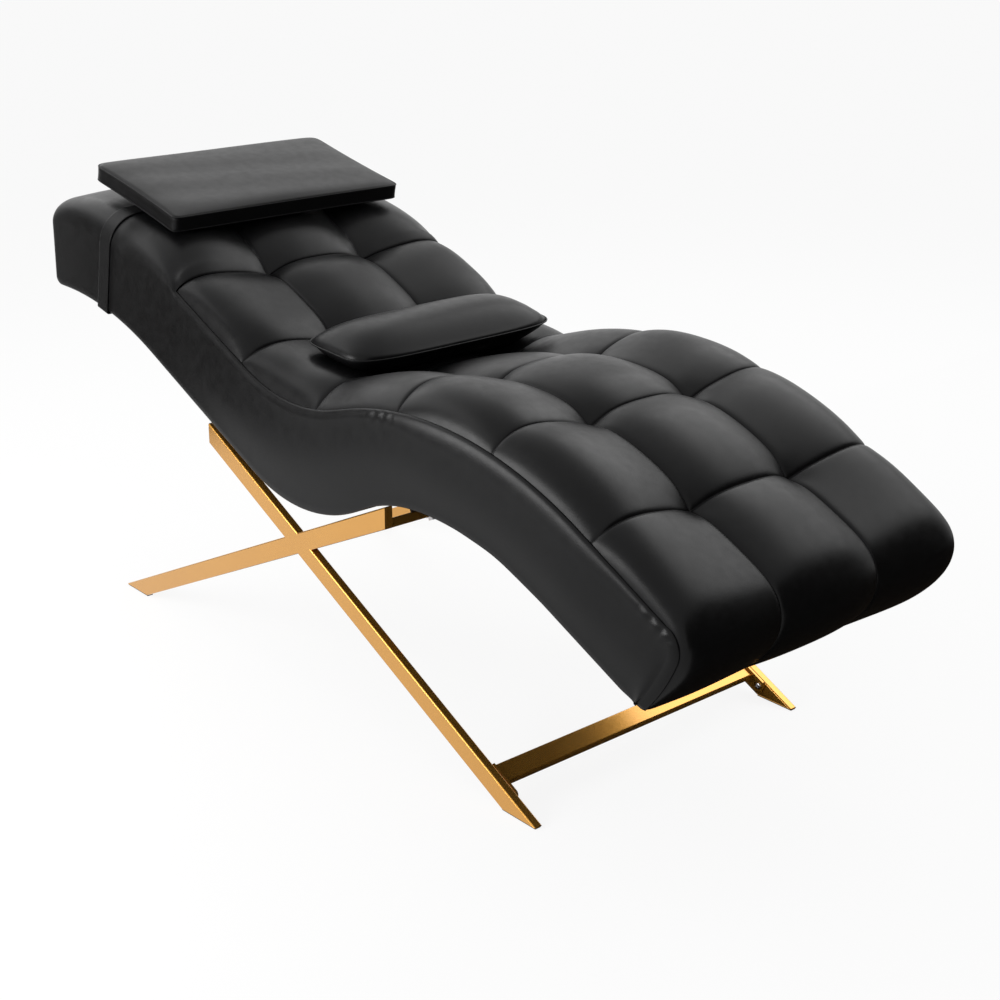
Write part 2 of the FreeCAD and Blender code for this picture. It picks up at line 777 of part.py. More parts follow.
sides = {"right": -1, "left": 1}
for side, sign in sides.items():
    centre = crossing + up_y * (sign * leg_middle)
    long_place = turned(centre, long_way, long_normal)
    short_place = turned(centre, short_way, short_normal)

    long_bar = bar(side + "_long_bar", "-" + long_top_run, long_top_run + " + " + long_foot_run)
    long_bar.Placement = long_place
    insert_hole = doc.addObject("Part::Cylinder", side + "_insert_hole")
    insert_hole.setExpression("Radius", "Sizes.insert_radius + Sizes.fastener_gap / 2")
    insert_hole.setExpression("Height", "Sizes.bar_thick / 2")
    inward = Vector(0, -sign, 0)
    insert_hole.Placement = Placement(
        bolt_spot + up_y * (sign * leg_inner) + inward * size("plate_thick"),
        Rotation(Vector(0, 0, 1), inward * -1),
    )
    label = side + "_long_leg"
    node(cut_from(label, long_bar, [floor_block, rear_block, insert_hole]), label)

    envelope = bar(side + "_long_envelope", "-" + long_top_run, long_top_run + " + " + long_foot_run, False)
    envelope.Placement = long_place
    label = side + "_long_leg_cap"
    node(common_of(label, envelope, rear_slice), label)

    lower = bar(side + "_short_lower_bar", "-" + short_foot_run, short_foot_run)
    lower.Placement = short_place
    label = side + "_short_leg_lower"
    node(cut_from(label, lower, [floor_block, envelope]), label)

    upper = bar(side + "_short_upper_bar", "0", short_top_run)
    upper.Placement = short_place
    label = side + "_short_leg_upper"
    node(cut_from(label, upper, [front_block, envelope]), label)

    short_envelope = bar(side + "_short_envelope", "0", short_top_run, False)
    short_envelope.Placement = short_place
    label = side + "_short_leg_cap"
    node(common_of(label, short_envelope, front_slice), label)

    for end, angle, ahead in (("front", "long_leg_angle", 1), ("rear", "short_leg_angle", -1)):
        label = "%s_%s_foot_pad" % (side, end)
        pad = doc.addObject("Part::Box", label)
        tilt = math.radians(size(angle))
        print_length = "Sizes.bar_width / sin(Sizes.%s * 1deg) - 2 * Sizes.foot_pad_margin" % angle
        pad.setExpression("Length", print_length)
        pad.setExpression("Width", "Sizes.bar_thick - 2 * Sizes.foot_pad_margin")
        pad.setExpression("Height", "Sizes.foot_pad_thick")
        half_print = size("bar_width") / math.sin(tilt) / 2 - size("foot_pad_margin")
        print_x = crossing.x + ahead * (size("cross_height") - floor_level) / math.tan(tilt)
        half_pad = size("bar_thick") / 2 - size("foot_pad_margin")
        pad.Placement = Placement(Vector(print_x - half_print, sign * leg_middle - half_pad, 0), Rotation())
        node(pad, label)

rail_length = "Sizes.cushion_width - 2 * Sizes.leg_inset - 2 * Sizes.bar_thick"
stretcher = bar("front_stretcher", "-(%s) / 2 + Sizes.plate_thick" % rail_length,
                rail_length + " - 2 * Sizes.plate_thick")
stretcher_centre = crossing + long_way * size("stretcher_reach") + long_normal * size("stretcher_lift")
stretcher.Placement = turned(stretcher_centre, up_y, long_way)
node(stretcher, "front_stretcher")

plate_length = size("bar_width") + size("plate_tail")
for side, sign in sides.items():
    low_y = leg_inner - size("plate_thick") if sign > 0 else -leg_inner
    flat = Part.makeBox(plate_length, size("plate_thick"), size("plate_width"))
    upright = [e for e in flat.Edges if abs(e.tangentAt(e.FirstParameter).y) > 0.9]
    tail_edges = [e for e in upright if e.CenterOfMass.x > plate_length / 2]
    flat = flat.makeFillet(size("plate_corner"), tail_edges)
    hole = Part.makeCylinder(size("stretcher_bolt_radius") + size("fastener_gap"), size("plate_thick"),
                             Vector(plate_length - size("plate_tail") + size("stretcher_bolt_gap"), 0,
                                    size("plate_width") / 2), up_y)
    flat = flat.cut(hole)
    corner = stretcher_centre - long_way * size("bar_width") / 2 - long_normal * size("plate_width") / 2
    plate = doc.addObject("Part::Feature", side + "_stretcher_plate")
    plate.Shape = flat
    plate.Placement = turned(corner + up_y * low_y, long_way, long_normal)
    node(plate, side + "_stretcher_plate")

bolts, inserts = [], []
head_radius = size("stretcher_bolt_head_radius")
head_height = size("stretcher_bolt_head_height")
for sign in sides.values():
    outward = up_y * sign
    face = bolt_spot + outward * (leg_inner - size("plate_thick"))
    shank_length = size("plate_thick") + size("insert_length") - size("bolt_end_gap")
    shank = Part.makeCylinder(size("stretcher_bolt_radius"), shank_length, face, outward)
    head = Part.makeCylinder(head_radius, head_height / 2, face, outward * -1)
    crown = Part.makeCone(head_radius, head_radius - head_height / 2, head_height / 2,
                          face - outward * head_height / 2, outward * -1)
    bolts.append(shank.multiFuse([head, crown]))
    seat = bolt_spot + outward * leg_inner
    insert = Part.makeCylinder(size("insert_radius"), size("insert_length"), seat, outward)
    bore = Part.makeCylinder(size("stretcher_bolt_radius") + size("fastener_gap"), size("insert_length"),
                             seat, outward)
    inserts.append(insert.cut(bore))
shaped("stretcher_bolts", Part.makeCompound(bolts))
shaped("stretcher_inserts", Part.makeCompound(inserts))

# Rails, spacers, battens and the bolts that hold the cushion

cushion_block = slab(panel_corners, panel_radii, half_width)


def entry_point(start, way):
    probe = Part.LineSegment(start, start + way * size("under_valley_depth")).toShape()
    inside = probe.common(cushion_block)
    return min((v.Point for v in inside.Vertexes), key=lambda p: (p - start).Length)


mounts = {
    "front": (short_way, short_normal, size("front_rail_reach")),
    "rear": (long_way * -1, long_normal, size("rear_rail_reach")),
}
washers, tee_nuts, dust_holes = [], [], []
half_bar = size("bar_thick") / 2
for end, (way, normal, reach) in mounts.items():
    centre = crossing + way * reach - normal * size("rail_drop")
    rail = bar(end + "_rail_bar", "-(%s) / 2" % rail_length, rail_length)
    rail.Placement = turned(centre, up_y, way)
    rail_top = centre + normal * half_bar
    entry = entry_point(rail_top, normal)
    spacer_half = way * size("spacer_width") / 2
    spacer_top = normal * ((entry - rail_top).Length + size("batten_thick"))
    spacer_corners = [rail_top - spacer_half, rail_top + spacer_half]
    spacer_corners += [c + spacer_top for c in reversed(spacer_corners)]
    batten_top = entry + normal * (dust + size("batten_thick"))
    batten_half = way * size("batten_width") / 2
    batten_corners = [batten_top - batten_half, batten_top + batten_half]
    batten_corners += [c - normal * 2 * size("batten_thick") for c in reversed(batten_corners)]
    batten_stock = extruded(end + "_batten_stock", batten_corners, [0.0] * 4, inner_start, inner_span)
    frame_room = doc.addObject("Part::Feature", end + "_frame_room")
    frame_room.Shape = frame_space
    batten = common_of(end + "_batten_fitted", batten_stock, frame_room)

    bolt_under = centre - normal * (half_bar + size("washer_thick"))
    bolt_length = (batten_top - bolt_under).Length
    hole_radius = size("mount_bolt_radius") + size("fastener_gap")
    spacers, end_bolts, bolt_holes, nut_holes = [], [], [], []
    for sign in sides.values():
        spot = up_y * (sign * size("spacer_spread") / 2)
        hole_start = bolt_under + spot - normal * bolt_length / 2
        hole = Part.makeCylinder(hole_radius, bolt_length * 2, hole_start, normal)
        bolt_holes.append(hole)
        outline = face_of(spacer_corners, [0.0] * 4)
        outline.translate(spot - up_y * size("spacer_length") / 2)
        block_stock = outline.extrude(up_y * size("spacer_length"))
        spacers.append(block_stock.cut(cushion_block).cut(hole))
        shank = Part.makeCylinder(size("mount_bolt_radius"), bolt_length, bolt_under + spot, normal)
        head = Part.makeCylinder(size("mount_bolt_head_radius"), size("mount_bolt_head_height"),
                                 bolt_under + spot, normal * -1)
        end_bolts.append(shank.fuse(head))
        washer = Part.makeCylinder(size("washer_radius"), size("washer_thick"), bolt_under + spot, normal)
        washers.append(washer.cut(hole))
        barrel_length = size("tee_nut_length")
        flange = Part.makeCylinder(size("tee_nut_flange_radius"), size("tee_nut_flange_thick"),
                                   batten_top + spot, normal)
        barrel = Part.makeCylinder(size("tee_nut_radius"), barrel_length,
                                   batten_top + spot - normal * barrel_length, normal)
        tee_nuts.append(flange.fuse(barrel).cut(hole))
        nut_holes.append(Part.makeCylinder(size("tee_nut_radius") + size("fastener_gap"), bolt_length,
                                           batten_top + spot - normal * barrel_length, normal))
    dust_holes += bolt_holes
    hole_tool = doc.addObject("Part::Feature", end + "_bolt_holes")
    hole_tool.Shape = Part.makeCompound(bolt_holes)
    nut_tool = doc.addObject("Part::Feature", end + "_nut_holes")
    nut_tool.Shape = Part.makeCompound(nut_holes)
    node(cut_from(end + "_top_rail", rail, [hole_tool]), end + "_top_rail")
    node(cut_from(end + "_mount_batten", batten, [hole_tool, nut_tool]), end + "_mount_batten")
    shaped(end + "_spacer_blocks", Part.makeCompound(spacers))
    shaped(end + "_mount_bolts", Part.makeCompound(end_bolts))
shaped("mount_washers", Part.makeCompound(washers))
shaped("tee_nuts", Part.makeCompound(tee_nuts))
dust_tool = doc.addObject("Part::Feature", "dust_cover_holes")
dust_tool.Shape = Part.makeCompound(dust_holes)
node(cut_from("dust_cover", dust_cover, [dust_tool]), "dust_cover")

# Head pillow: a flat crowned pad sewn to a strap that goes round the head section

soft_gap = size("soft_gap")
strap_inner_top = size("head_crown") + soft_gap
pillow_floor = strap_inner_top + size("strap_thick")
pillow_frame = station(size("head_pillow_station"))


def local_point(frame, x, y, height):
    point, normal = frame
    return point + below(normal) * x + up_y * y + normal * height


def pillow_section(y, length, bottom, thick, crown):
    half = length / 2
    low_back = local_point(pillow_frame, -half, y, bottom)
    low_front = local_point(pillow_frame, half, y, bottom)
    top_front = local_point(pillow_frame, half, y, bottom + thick)
    top_back = local_point(pillow_frame, -half, y, bottom + thick)
    top_mid = local_point(pillow_frame, 0, y, bottom + thick + crown)
    return Part.Wire([
        line_edge(low_back, low_front),
        line_edge(low_front, top_front),
        arc_edge(top_front, top_mid, top_back),
        line_edge(top_back, low_back),
    ])


def pillow_pad(shrink):
    half = size("head_pillow_width") / 2 - shrink
    length = size("head_pillow_length") - 2 * shrink
    thick = size("head_pillow_thick") - 2 * shrink
    bottom = pillow_floor + shrink
    waist = 2 * size("head_pillow_waist")
    pad_sections = []
    for share in steps(row_bands):
        full = swell(share)
        crown = between(size("head_pillow_end_crown"), size("head_pillow_crown"), full)
        y = between(-half, half, share)
        pad_sections.append(pillow_section(y, length - full * waist, bottom, thick, crown))
    return Part.makeLoft(pad_sections, True, True)


cover_thick = size("cover_thick")
filling_shrink = cover_thick + size("filling_gap")
shaped("head_pillow_cover", pillow_pad(0).cut(pillow_pad(cover_thick)))
shaped("head_pillow_foam", pillow_pad(filling_shrink))

strap_frame = station(size("strap_station"))
strap_half = half_width + soft_gap
under_points = []
for edge in rounded_edges([head_bottom(head_x, 0)] + list(reversed(under_corners(0))),
                          [0.0] + list(reversed(under_radii(0))), closed=False):
    under_points += edge.discretize(60)
strap_levels = []
for point in under_points:
    offset = point - strap_frame[0]
    if abs(offset.dot(head_way)) <= strap_room:
        strap_levels.append(offset.dot(strap_frame[1]))
strap_bottom = min(strap_levels) - soft_gap


def strap_outline(grow):
    half = strap_half + grow
    top = strap_inner_top + grow
    low = strap_bottom - grow
    corner = size("strap_corner") + grow
    flat_half = half - corner
    bend = corner * math.sqrt(0.5)

    def at(y, height):
        return local_point(strap_frame, -size("strap_width") / 2, y, height)

    edges = [
        line_edge(at(-half, low), at(half, low)),
        line_edge(at(half, low), at(half, top - corner)),
        arc_edge(at(half, top - corner), at(flat_half + bend, top - corner + bend), at(flat_half, top)),
        line_edge(at(flat_half, top), at(-flat_half, top)),
        arc_edge(at(-flat_half, top), at(-flat_half - bend, top - corner + bend), at(-half, top - corner)),
        line_edge(at(-half, top - corner), at(-half, low)),
    ]
    return Part.Face(Part.Wire(edges))


strap_face = strap_outline(size("strap_thick")).cut(strap_outline(0))
shaped("pillow_strap", strap_face.extrude(head_way * size("strap_width")))

# Lumbar pillow: a knife-edge lens that lies in the valley of the seat

rows_to_lumbar = 1.5
lumbar_frame = station(first_seam + rows_to_lumbar * size("row_pitch") + size("lumbar_shift"))


lens_bands = 8
plan_power = 8
crown_power = 6


def lens_section(seam, y, half, crown, belly):
    back = local_point(lumbar_frame, -half, y, seam)
    front = local_point(lumbar_frame, half, y, seam)
    top = local_point(lumbar_frame, 0, y, seam + crown)
    bottom = local_point(lumbar_frame, 0, y, seam - belly)
    return Part.Wire([arc_edge(back, top, front), arc_edge(front, bottom, back)])


def lens(seam, shrink):
    half = size("lumbar_half_length") - 2 * shrink
    wide = size("lumbar_half_width") - 2 * shrink
    crown = size("lumbar_crown") - shrink
    belly = size("lumbar_belly") - shrink
    end_half = size("lumbar_end_half_length") - 2 * shrink
    end_crown = size("lumbar_end_crown") - shrink
    end_belly = size("lumbar_end_belly") - shrink
    lens_sections = []
    for share in steps(lens_bands):
        across = -math.cos(math.pi * share)
        taper = abs(across) ** plan_power
        fall = abs(across) ** crown_power
        lens_sections.append(lens_section(
            seam,
            wide * across,
            between(half, end_half, taper),
            between(crown, end_crown, fall),
            between(belly, end_belly, fall),
        ))
    return Part.makeLoft(lens_sections, True, True)


# It is let down from above the tufts until it rests on them.
lumbar_seam = 2 * (junction_lift + seam_arch + size("tuft_arch")) + size("lumbar_belly")
settling_steps = 4
for step in range(settling_steps):
    space_below = lens(lumbar_seam, 0).distToShape(tufted_top.Shape)[0]
    lumbar_seam += size("rest_gap") - space_below
shaped("lumbar_pillow_cover", lens(lumbar_seam, 0).cut(lens(lumbar_seam, cover_thick)))
shaped("lumbar_pillow_filling", lens(lumbar_seam, filling_shrink))

# Check everything, then write one file for each piece

doc.recompute()
for obj in doc.Objects:
    if "Invalid" in obj.State or "Error" in obj.State:
        raise RuntimeError("%s failed: %s" % (obj.Label, obj.State))
os.makedirs("parts", exist_ok=True)
for obj in nodes:
    if obj.Shape.isNull() or not obj.Shape.isValid() or not obj.Shape.Solids:
        raise RuntimeError("%s has no valid solid" % obj.Label)
for obj in nodes:
    obj.Shape.exportStep("parts/%s.step" % obj.Label)
print("%d pieces written" % len(nodes))
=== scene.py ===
import bpy
import bmesh
import json
import numpy as np
from math import acos, atan2, copysign, cos, exp, hypot, pi, radians, sin, sqrt, tan
from mathutils import Matrix, Vector
from mathutils.bvhtree import BVHTree


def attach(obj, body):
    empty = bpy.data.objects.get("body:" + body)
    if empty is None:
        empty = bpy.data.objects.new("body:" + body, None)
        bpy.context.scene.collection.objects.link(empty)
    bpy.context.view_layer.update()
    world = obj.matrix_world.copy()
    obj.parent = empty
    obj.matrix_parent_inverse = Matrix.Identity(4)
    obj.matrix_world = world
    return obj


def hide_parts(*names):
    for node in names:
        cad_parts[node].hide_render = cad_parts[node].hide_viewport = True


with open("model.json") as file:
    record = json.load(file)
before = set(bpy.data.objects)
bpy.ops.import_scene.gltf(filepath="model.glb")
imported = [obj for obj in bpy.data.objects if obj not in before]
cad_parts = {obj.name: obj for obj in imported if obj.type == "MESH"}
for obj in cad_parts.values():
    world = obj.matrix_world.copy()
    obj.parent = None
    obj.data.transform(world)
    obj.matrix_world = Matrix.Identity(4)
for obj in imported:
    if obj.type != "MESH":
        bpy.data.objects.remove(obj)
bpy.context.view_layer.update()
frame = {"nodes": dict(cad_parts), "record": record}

scene = bpy.context.scene
print("frame loaded:", len(frame["nodes"]), "nodes")


# side profile of the bed, metres and degrees, the same corners that the solids are drawn from
bed = {
    "halfWidth": 0.325,
    "valley": (-0.0565, 0.528),
    "headSlope": 12.0, "backSlope": 23.5, "seatSlope": 16.4, "calfSlope": 26.6,
    "headLength": 0.443, "backLength": 0.438, "seatLength": 0.485, "calfLength": 0.5355,
    "topRadii": (0.380, 0.394, 0.770), "rollRadius": 0.035, "footDepth": 0.141,
    "underHeadSlope": 0.7, "underNeck": (-0.2095, -0.090), "underValley": (0.053, -0.206),
    "underCrest": (-0.062, -0.148), "underRadii": (0.850, 0.370, 0.400), "headCorner": 0.024,
}


def wayOf(degrees):
    a = radians(degrees)
    return np.array((cos(a), sin(a)))


def unit(v):
    return v / np.linalg.norm(v)


def roundedLine(corners, radii, step=0.0005):
    # straight runs and arcs as closely spaced points with their distance along the line
    corners = [np.array(c, float) for c in corners]
    points = [corners[0]]
    for i in range(1, len(corners) - 1):
        back, ahead = unit(corners[i - 1] - corners[i]), unit(corners[i + 1] - corners[i])
        half = acos(np.clip(back @ ahead, -1, 1)) / 2
        cut = radii[i] / tan(half)
        centre = corners[i] + unit(back + ahead) * radii[i] / sin(half)
        start, end = corners[i] + back * cut - centre, corners[i] + ahead * cut - centre
        turn = atan2(start[0] * end[1] - start[1] * end[0], start @ end)
        count = max(6, int(abs(turn) * radii[i] / step))
        for k in range(count + 1):
            a = turn * k / count
            points.append(centre + np.array((start[0] * cos(a) - start[1] * sin(a),
                                             start[0] * sin(a) + start[1] * cos(a))))
    points.append(corners[-1])
    dense = [points[0]]
    for p, q in zip(points, points[1:]):
        count = max(1, int(np.linalg.norm(q - p) / step))
        dense += [p + (q - p) * (k / count) for k in range(1, count + 1)]
    dense = np.array(dense)
    run = np.concatenate(([0.0], np.cumsum(np.linalg.norm(np.diff(dense, axis=0), axis=1))))
    tangent = np.gradient(dense, axis=0)
    tangent /= np.linalg.norm(tangent, axis=1)[:, None]
    return {"run": run, "at": dense, "way": tangent, "length": run[-1]}


def onLine(line, run):
    # place and normal at a distance along the line
    at, way = [np.stack([np.interp(run, line["run"], line[key][:, k]) for k in (0, 1)], -1) for key in ("at", "way")]
    way /= np.linalg.norm(way, axis=-1, keepdims=True)
    return at, np.stack([-way[..., 1], way[..., 0]], -1)


valley = np.array(bed["valley"])
neck = valley - wayOf(-bed["backSlope"]) * bed["backLength"]
crest = valley + wayOf(bed["seatSlope"]) * bed["seatLength"]
foot = crest + wayOf(-bed["calfSlope"]) * bed["calfLength"]
headEnd = neck - wayOf(-bed["headSlope"]) * bed["headLength"]
underFoot = foot + wayOf(-bed["calfSlope"] - 90) * bed["footDepth"]
underNeck = neck + np.array(bed["underNeck"])
underValley = valley + np.array(bed["underValley"])
underCrest = crest + np.array(bed["underCrest"])
underWay = wayOf(-bed["underHeadSlope"])
underHead = underNeck + underWay * ((headEnd[0] - underNeck[0]) / underWay[0])
seamLine = roundedLine([headEnd, neck, valley, crest, foot, underFoot], [0, *bed["topRadii"], bed["rollRadius"], 0])
underLine = roundedLine([underHead + np.array((0, bed["headCorner"] + 1e-4)), underHead, underNeck, underValley,
                         underCrest, underFoot], [0, bed["headCorner"], *bed["underRadii"], 0])
halfWidth = bed["halfWidth"]
rollStart = seamLine["length"] - (bed["footDepth"] - bed["rollRadius"]) - bed["rollRadius"] * pi / 2
print("profile: seam line %.3f m, underside %.3f m" % (seamLine["length"], underLine["length"]))


def linkObject(name, data):
    piece = bpy.data.objects.new(name, data)
    scene.collection.objects.link(piece)
    return piece


def objectFrom(built, name):
    mesh = bpy.data.meshes.new(name)
    built.to_mesh(mesh)
    built.free()
    return linkObject(name, mesh)


def plainMesh(name, verts, faces=()):
    mesh = bpy.data.meshes.new(name)
    mesh.from_pydata(verts, [], faces)
    return mesh


def mend(mesh):
    # joins points that coincide and turns all faces outwards
    built = bmesh.new()
    built.from_mesh(mesh)
    bmesh.ops.remove_doubles(built, verts=built.verts, dist=1e-6)
    bmesh.ops.recalc_face_normals(built, faces=built.faces)
    built.to_mesh(mesh)
    built.free()


def makeObject(name, verts, faces, material):
    mesh = plainMesh(name, [tuple(v) for v in verts], faces)
    mesh.validate()
    mend(mesh)
    mesh.polygons.foreach_set("use_smooth", [True] * len(mesh.polygons))
    mesh.materials.append(material)
    return linkObject(name, mesh)


def gridFaces(rows, columns, first=0):
    corners = [first + r * columns + c for r in range(rows - 1) for c in range(columns - 1)]
    return [(k, k + 1, k + columns + 1, k + columns) for k in corners]


def ringFaces(first, second, count):
    # quads between two closed rings of points
    return [(first + k, first + (k + 1) % count, second + (k + 1) % count, second + k) for k in range(count)]


def stackFaces(rings, count, turn=1):
    # a stack of closed rings, shut at both ends, turn is -1 where it goes down
    faces = [f for low, high in zip(rings, rings[1:]) for f in ringFaces(low, high, count)]
    ends = [range(rings[0], rings[0] + count)[::-turn], range(rings[-1], rings[-1] + count)[::turn]]
    return faces + [tuple(end) for end in ends]


def smoothStep(x, start, end):
    t = np.clip((x - start) / (end - start), 0, 1)
    return t * t * (3 - 2 * t)


def within(x, span):
    # rises over the first two places of span and falls over the last two
    return smoothStep(x, span[0], span[1]) * (1 - smoothStep(x, span[2], span[3]))


# materials
def setInputs(node, values):
    for key, value in values.items():
        node.inputs[key].default_value = value


def addNode(nodes, kind, values=None, **options):
    node = nodes.new(kind)
    for key, value in options.items():
        setattr(node, key, value)
    setInputs(node, values or {})
    return node


def joinAll(*joins):
    for giver, given, taker, taken in joins:
        giver.id_data.links.new(giver.outputs[given], taker.inputs[taken])


def newMaterial(name):
    material = bpy.data.materials.new(name)
    material.use_nodes = True
    nodes = material.node_tree.nodes
    return material, nodes, nodes["Principled BSDF"]


def tintNode(nodes, first, second):
    return addNode(nodes, "ShaderNodeMix", {"A": (*first, 1), "B": (*second, 1)}, data_type="RGBA")


leatherFinish = {"colour": (0.0024, 0.0024, 0.0026), "lighter": 1.5, "roughness": 0.34, "spread": (-0.03, 0.04),
                 "grain": 1500.0, "grainDepth": 0.10, "grainHeight": 0.0004, "creaseScale": 60.0, "creaseShare": 0.35,
                 "creaseRange": (0.3, 0.7), "specular": 0.15}


def leatherMaterial(name, f):
    material, nodes, shader = newMaterial(name)
    place = nodes.new("ShaderNodeTexCoord")
    grain = addNode(nodes, "ShaderNodeTexVoronoi", {"Scale": f["grain"]}, feature="SMOOTH_F1")
    pores = addNode(nodes, "ShaderNodeTexNoise", {"Scale": f["creaseScale"], "Detail": 6})
    mixed = addNode(nodes, "ShaderNodeMath", {1: f["creaseShare"]}, operation="MULTIPLY_ADD")
    bump = addNode(nodes, "ShaderNodeBump", {"Strength": f["grainDepth"], "Distance": f["grainHeight"]})
    rough = addNode(nodes, "ShaderNodeMapRange", {
        "From Min": f["creaseRange"][0], "From Max": f["creaseRange"][1],
        "To Min": f["roughness"] + f["spread"][0], "To Max": f["roughness"] + f["spread"][1]})
    tint = tintNode(nodes, f["colour"], [c * f["lighter"] for c in f["colour"]])
    joinAll((place, "Object", grain, "Vector"), (place, "Object", pores, "Vector"), (pores, "Fac", mixed, 0),
            (grain, "Distance", mixed, 2), (mixed, 0, bump, "Height"), (pores, "Fac", rough, "Value"),
            (pores, "Fac", tint, "Factor"), (tint, "Result", shader, "Base Color"),
            (rough, "Result", shader, "Roughness"), (bump, "Normal", shader, "Normal"))
    setInputs(shader, {"Specular IOR Level": f["specular"]})
    return material


goldFinish = {"colour": (0.65, 0.315, 0.046), "deep": (0.60, 0.280, 0.034), "roughness": 0.27, "spread": 0.05,
              "cloudScale": 9.0, "fineScale": 900.0, "coat": 1.4, "coatRoughness": 0.16, "metal": 0.87}


def goldMaterial(name, f):
    material, nodes, shader = newMaterial(name)
    place = nodes.new("ShaderNodeTexCoord")
    cloud = addNode(nodes, "ShaderNodeTexNoise", {"Scale": f["cloudScale"], "Detail": 4})
    fine = addNode(nodes, "ShaderNodeTexNoise", {"Scale": f["fineScale"], "Detail": 2})
    tint = tintNode(nodes, f["deep"], f["colour"])
    blend = addNode(nodes, "ShaderNodeMath", operation="MULTIPLY")
    rough = addNode(nodes, "ShaderNodeMapRange", {
        "To Min": f["roughness"] - f["spread"], "To Max": f["roughness"] + f["spread"]})
    joinAll((place, "Object", cloud, "Vector"), (place, "Object", fine, "Vector"), (cloud, "Fac", blend, 0),
            (fine, "Fac", blend, 1), (blend, 0, rough, "Value"), (cloud, "Fac", tint, "Factor"),
            (tint, "Result", shader, "Base Color"), (rough, "Result", shader, "Roughness"))
    setInputs(shader, {"Metallic": f["metal"], "Coat Weight": 1.0, "Coat IOR": f["coat"],
                       "Coat Roughness": f["coatRoughness"]})
    return material


def speckledMaterial(name, dark, light, scale, roughness, bumpStrength, metallic=0.0, stretch=(1, 1, 1)):
    material, nodes, shader = newMaterial(name)
    place = nodes.new("ShaderNodeTexCoord")
    mapping = addNode(nodes, "ShaderNodeMapping", {"Scale": stretch})
    cloud = addNode(nodes, "ShaderNodeTexNoise", {"Scale": scale, "Detail": 5})
    tint = tintNode(nodes, dark, light)
    bump = addNode(nodes, "ShaderNodeBump", {"Strength": bumpStrength, "Distance": 0.0005})
    joinAll((place, "Object", mapping, "Vector"), (mapping, "Vector", cloud, "Vector"),
            (cloud, "Fac", tint, "Factor"), (cloud, "Fac", bump, "Height"),
            (tint, "Result", shader, "Base Color"), (bump, "Normal", shader, "Normal"))
    setInputs(shader, {"Roughness": roughness, "Metallic": metallic})
    return material


blackLeather = leatherMaterial("blackLeather", leatherFinish)
strapLeather = leatherMaterial("strapLeather", {**leatherFinish, "roughness": 0.40, "grain": 1800.0})
goldTube = goldMaterial("goldTube", goldFinish)
blackRubber = speckledMaterial("blackRubber", (0.010, 0.010, 0.010), (0.022, 0.022, 0.022), 400, 0.75, 0.25)
zincSteel = speckledMaterial("zincSteel", (0.50, 0.50, 0.52), (0.66, 0.66, 0.68), 700, 0.28, 0.08, 1.0)
woodGrain = (30, 0.6, 0.2, 0.0, (0.4, 4, 4))
plywood = speckledMaterial("plywood", (0.36, 0.22, 0.11), (0.56, 0.39, 0.22), *woodGrain)
# near-black wood is painted shade: the plywood spacer blocks under the bed get this colour for the shade they sit in
shadePaintedWood = speckledMaterial("shadePaintedWood", (0.010, 0.006, 0.004), (0.024, 0.014, 0.009), *woodGrain)
seatFoam = speckledMaterial("seatFoam", (0.58, 0.54, 0.40), (0.74, 0.70, 0.55), 600, 0.9, 0.5)
dustFabric = speckledMaterial("dustFabric", (0.008, 0.008, 0.009), (0.028, 0.028, 0.030), 900, 0.85, 0.5)
slotMaterials = {"gold_frame": goldTube, "black_rubber": blackRubber, "zinc_steel": zincSteel, "plywood": plywood,
                 "foam": seatFoam, "black_leather": blackLeather, "black_strap": strapLeather,
                 "dust_fabric": dustFabric}
for subpart in frame["record"]["subparts"]:
    cadNode = frame["nodes"][subpart["node"]]
    cadNode.data.materials.clear()
    # painted shade: the spacer blocks in the shade under the bed get near-black wood in place of their plywood
    paintedShade = subpart["node"].endswith("spacer_blocks")  # the only wood in sight under the bed
    cadNode.data.materials.append(shadePaintedWood if paintedShade else slotMaterials[subpart["material_slot"]])
print("materials ready")


# tufted top: three columns of tufts between pulled seams, from the first cross seam to the foot
tuftShape = {
    "firstSeam": 0.491, "pitch": 0.233, "rows": 5, "columnEdge": 0.1125, "seamY": 0.3185,
    "junction": 0.009, "crossArch": 0.021, "outerArch": (0.025, 0.029, 0.035, 0.037, 0.033, 0.033, 0.034),
    "longArch": (0.016, 0.015, 0.004, 0.014, 0.013, 0.016), "bulge": (0.005, 0.004, 0.000, 0.002, 0.001, 0.005),
    "edgeFlat": 0.007, "edgeSkew": (0.55, 0.64, 0.75, 0.72, 0.57, 0.54, 0.54), "endArch": 0.0025, "nose": 0.010,
    "power": 2.5, "flatness": 2.8, "fullness": 70.0, "reachPower": 3,
    "groove": 0.0034, "grooveWidth": 0.0026, "grooveLimit": 1.2, "hollow": 0.006, "hollowWidth": 0.026,
    "easeSpan": (1.71, 1.77, 1.945, 1.975), "easeEdge": 0.015, "easeRounds": 45,
    "fineSteps": (0.0, 0.0008, 0.0018, 0.0032, 0.0052, 0.0080, 0.0120, 0.0175), "rowSteps": 26, "columnSteps": 24,
    "footSteps": 70, "bottomDepth": 0.025,
}
lastSeam = tuftShape["firstSeam"] + tuftShape["rows"] * tuftShape["pitch"]


def hump(t, power=2.0):
    return 1 - np.abs(2 * t - 1) ** power


def noseRise(run):
    # the foot end is rounded, fullest halfway down its face
    return tuftShape["nose"] * hump(np.clip((run - rollStart) / (seamLine["length"] - rollStart), 0, 1))


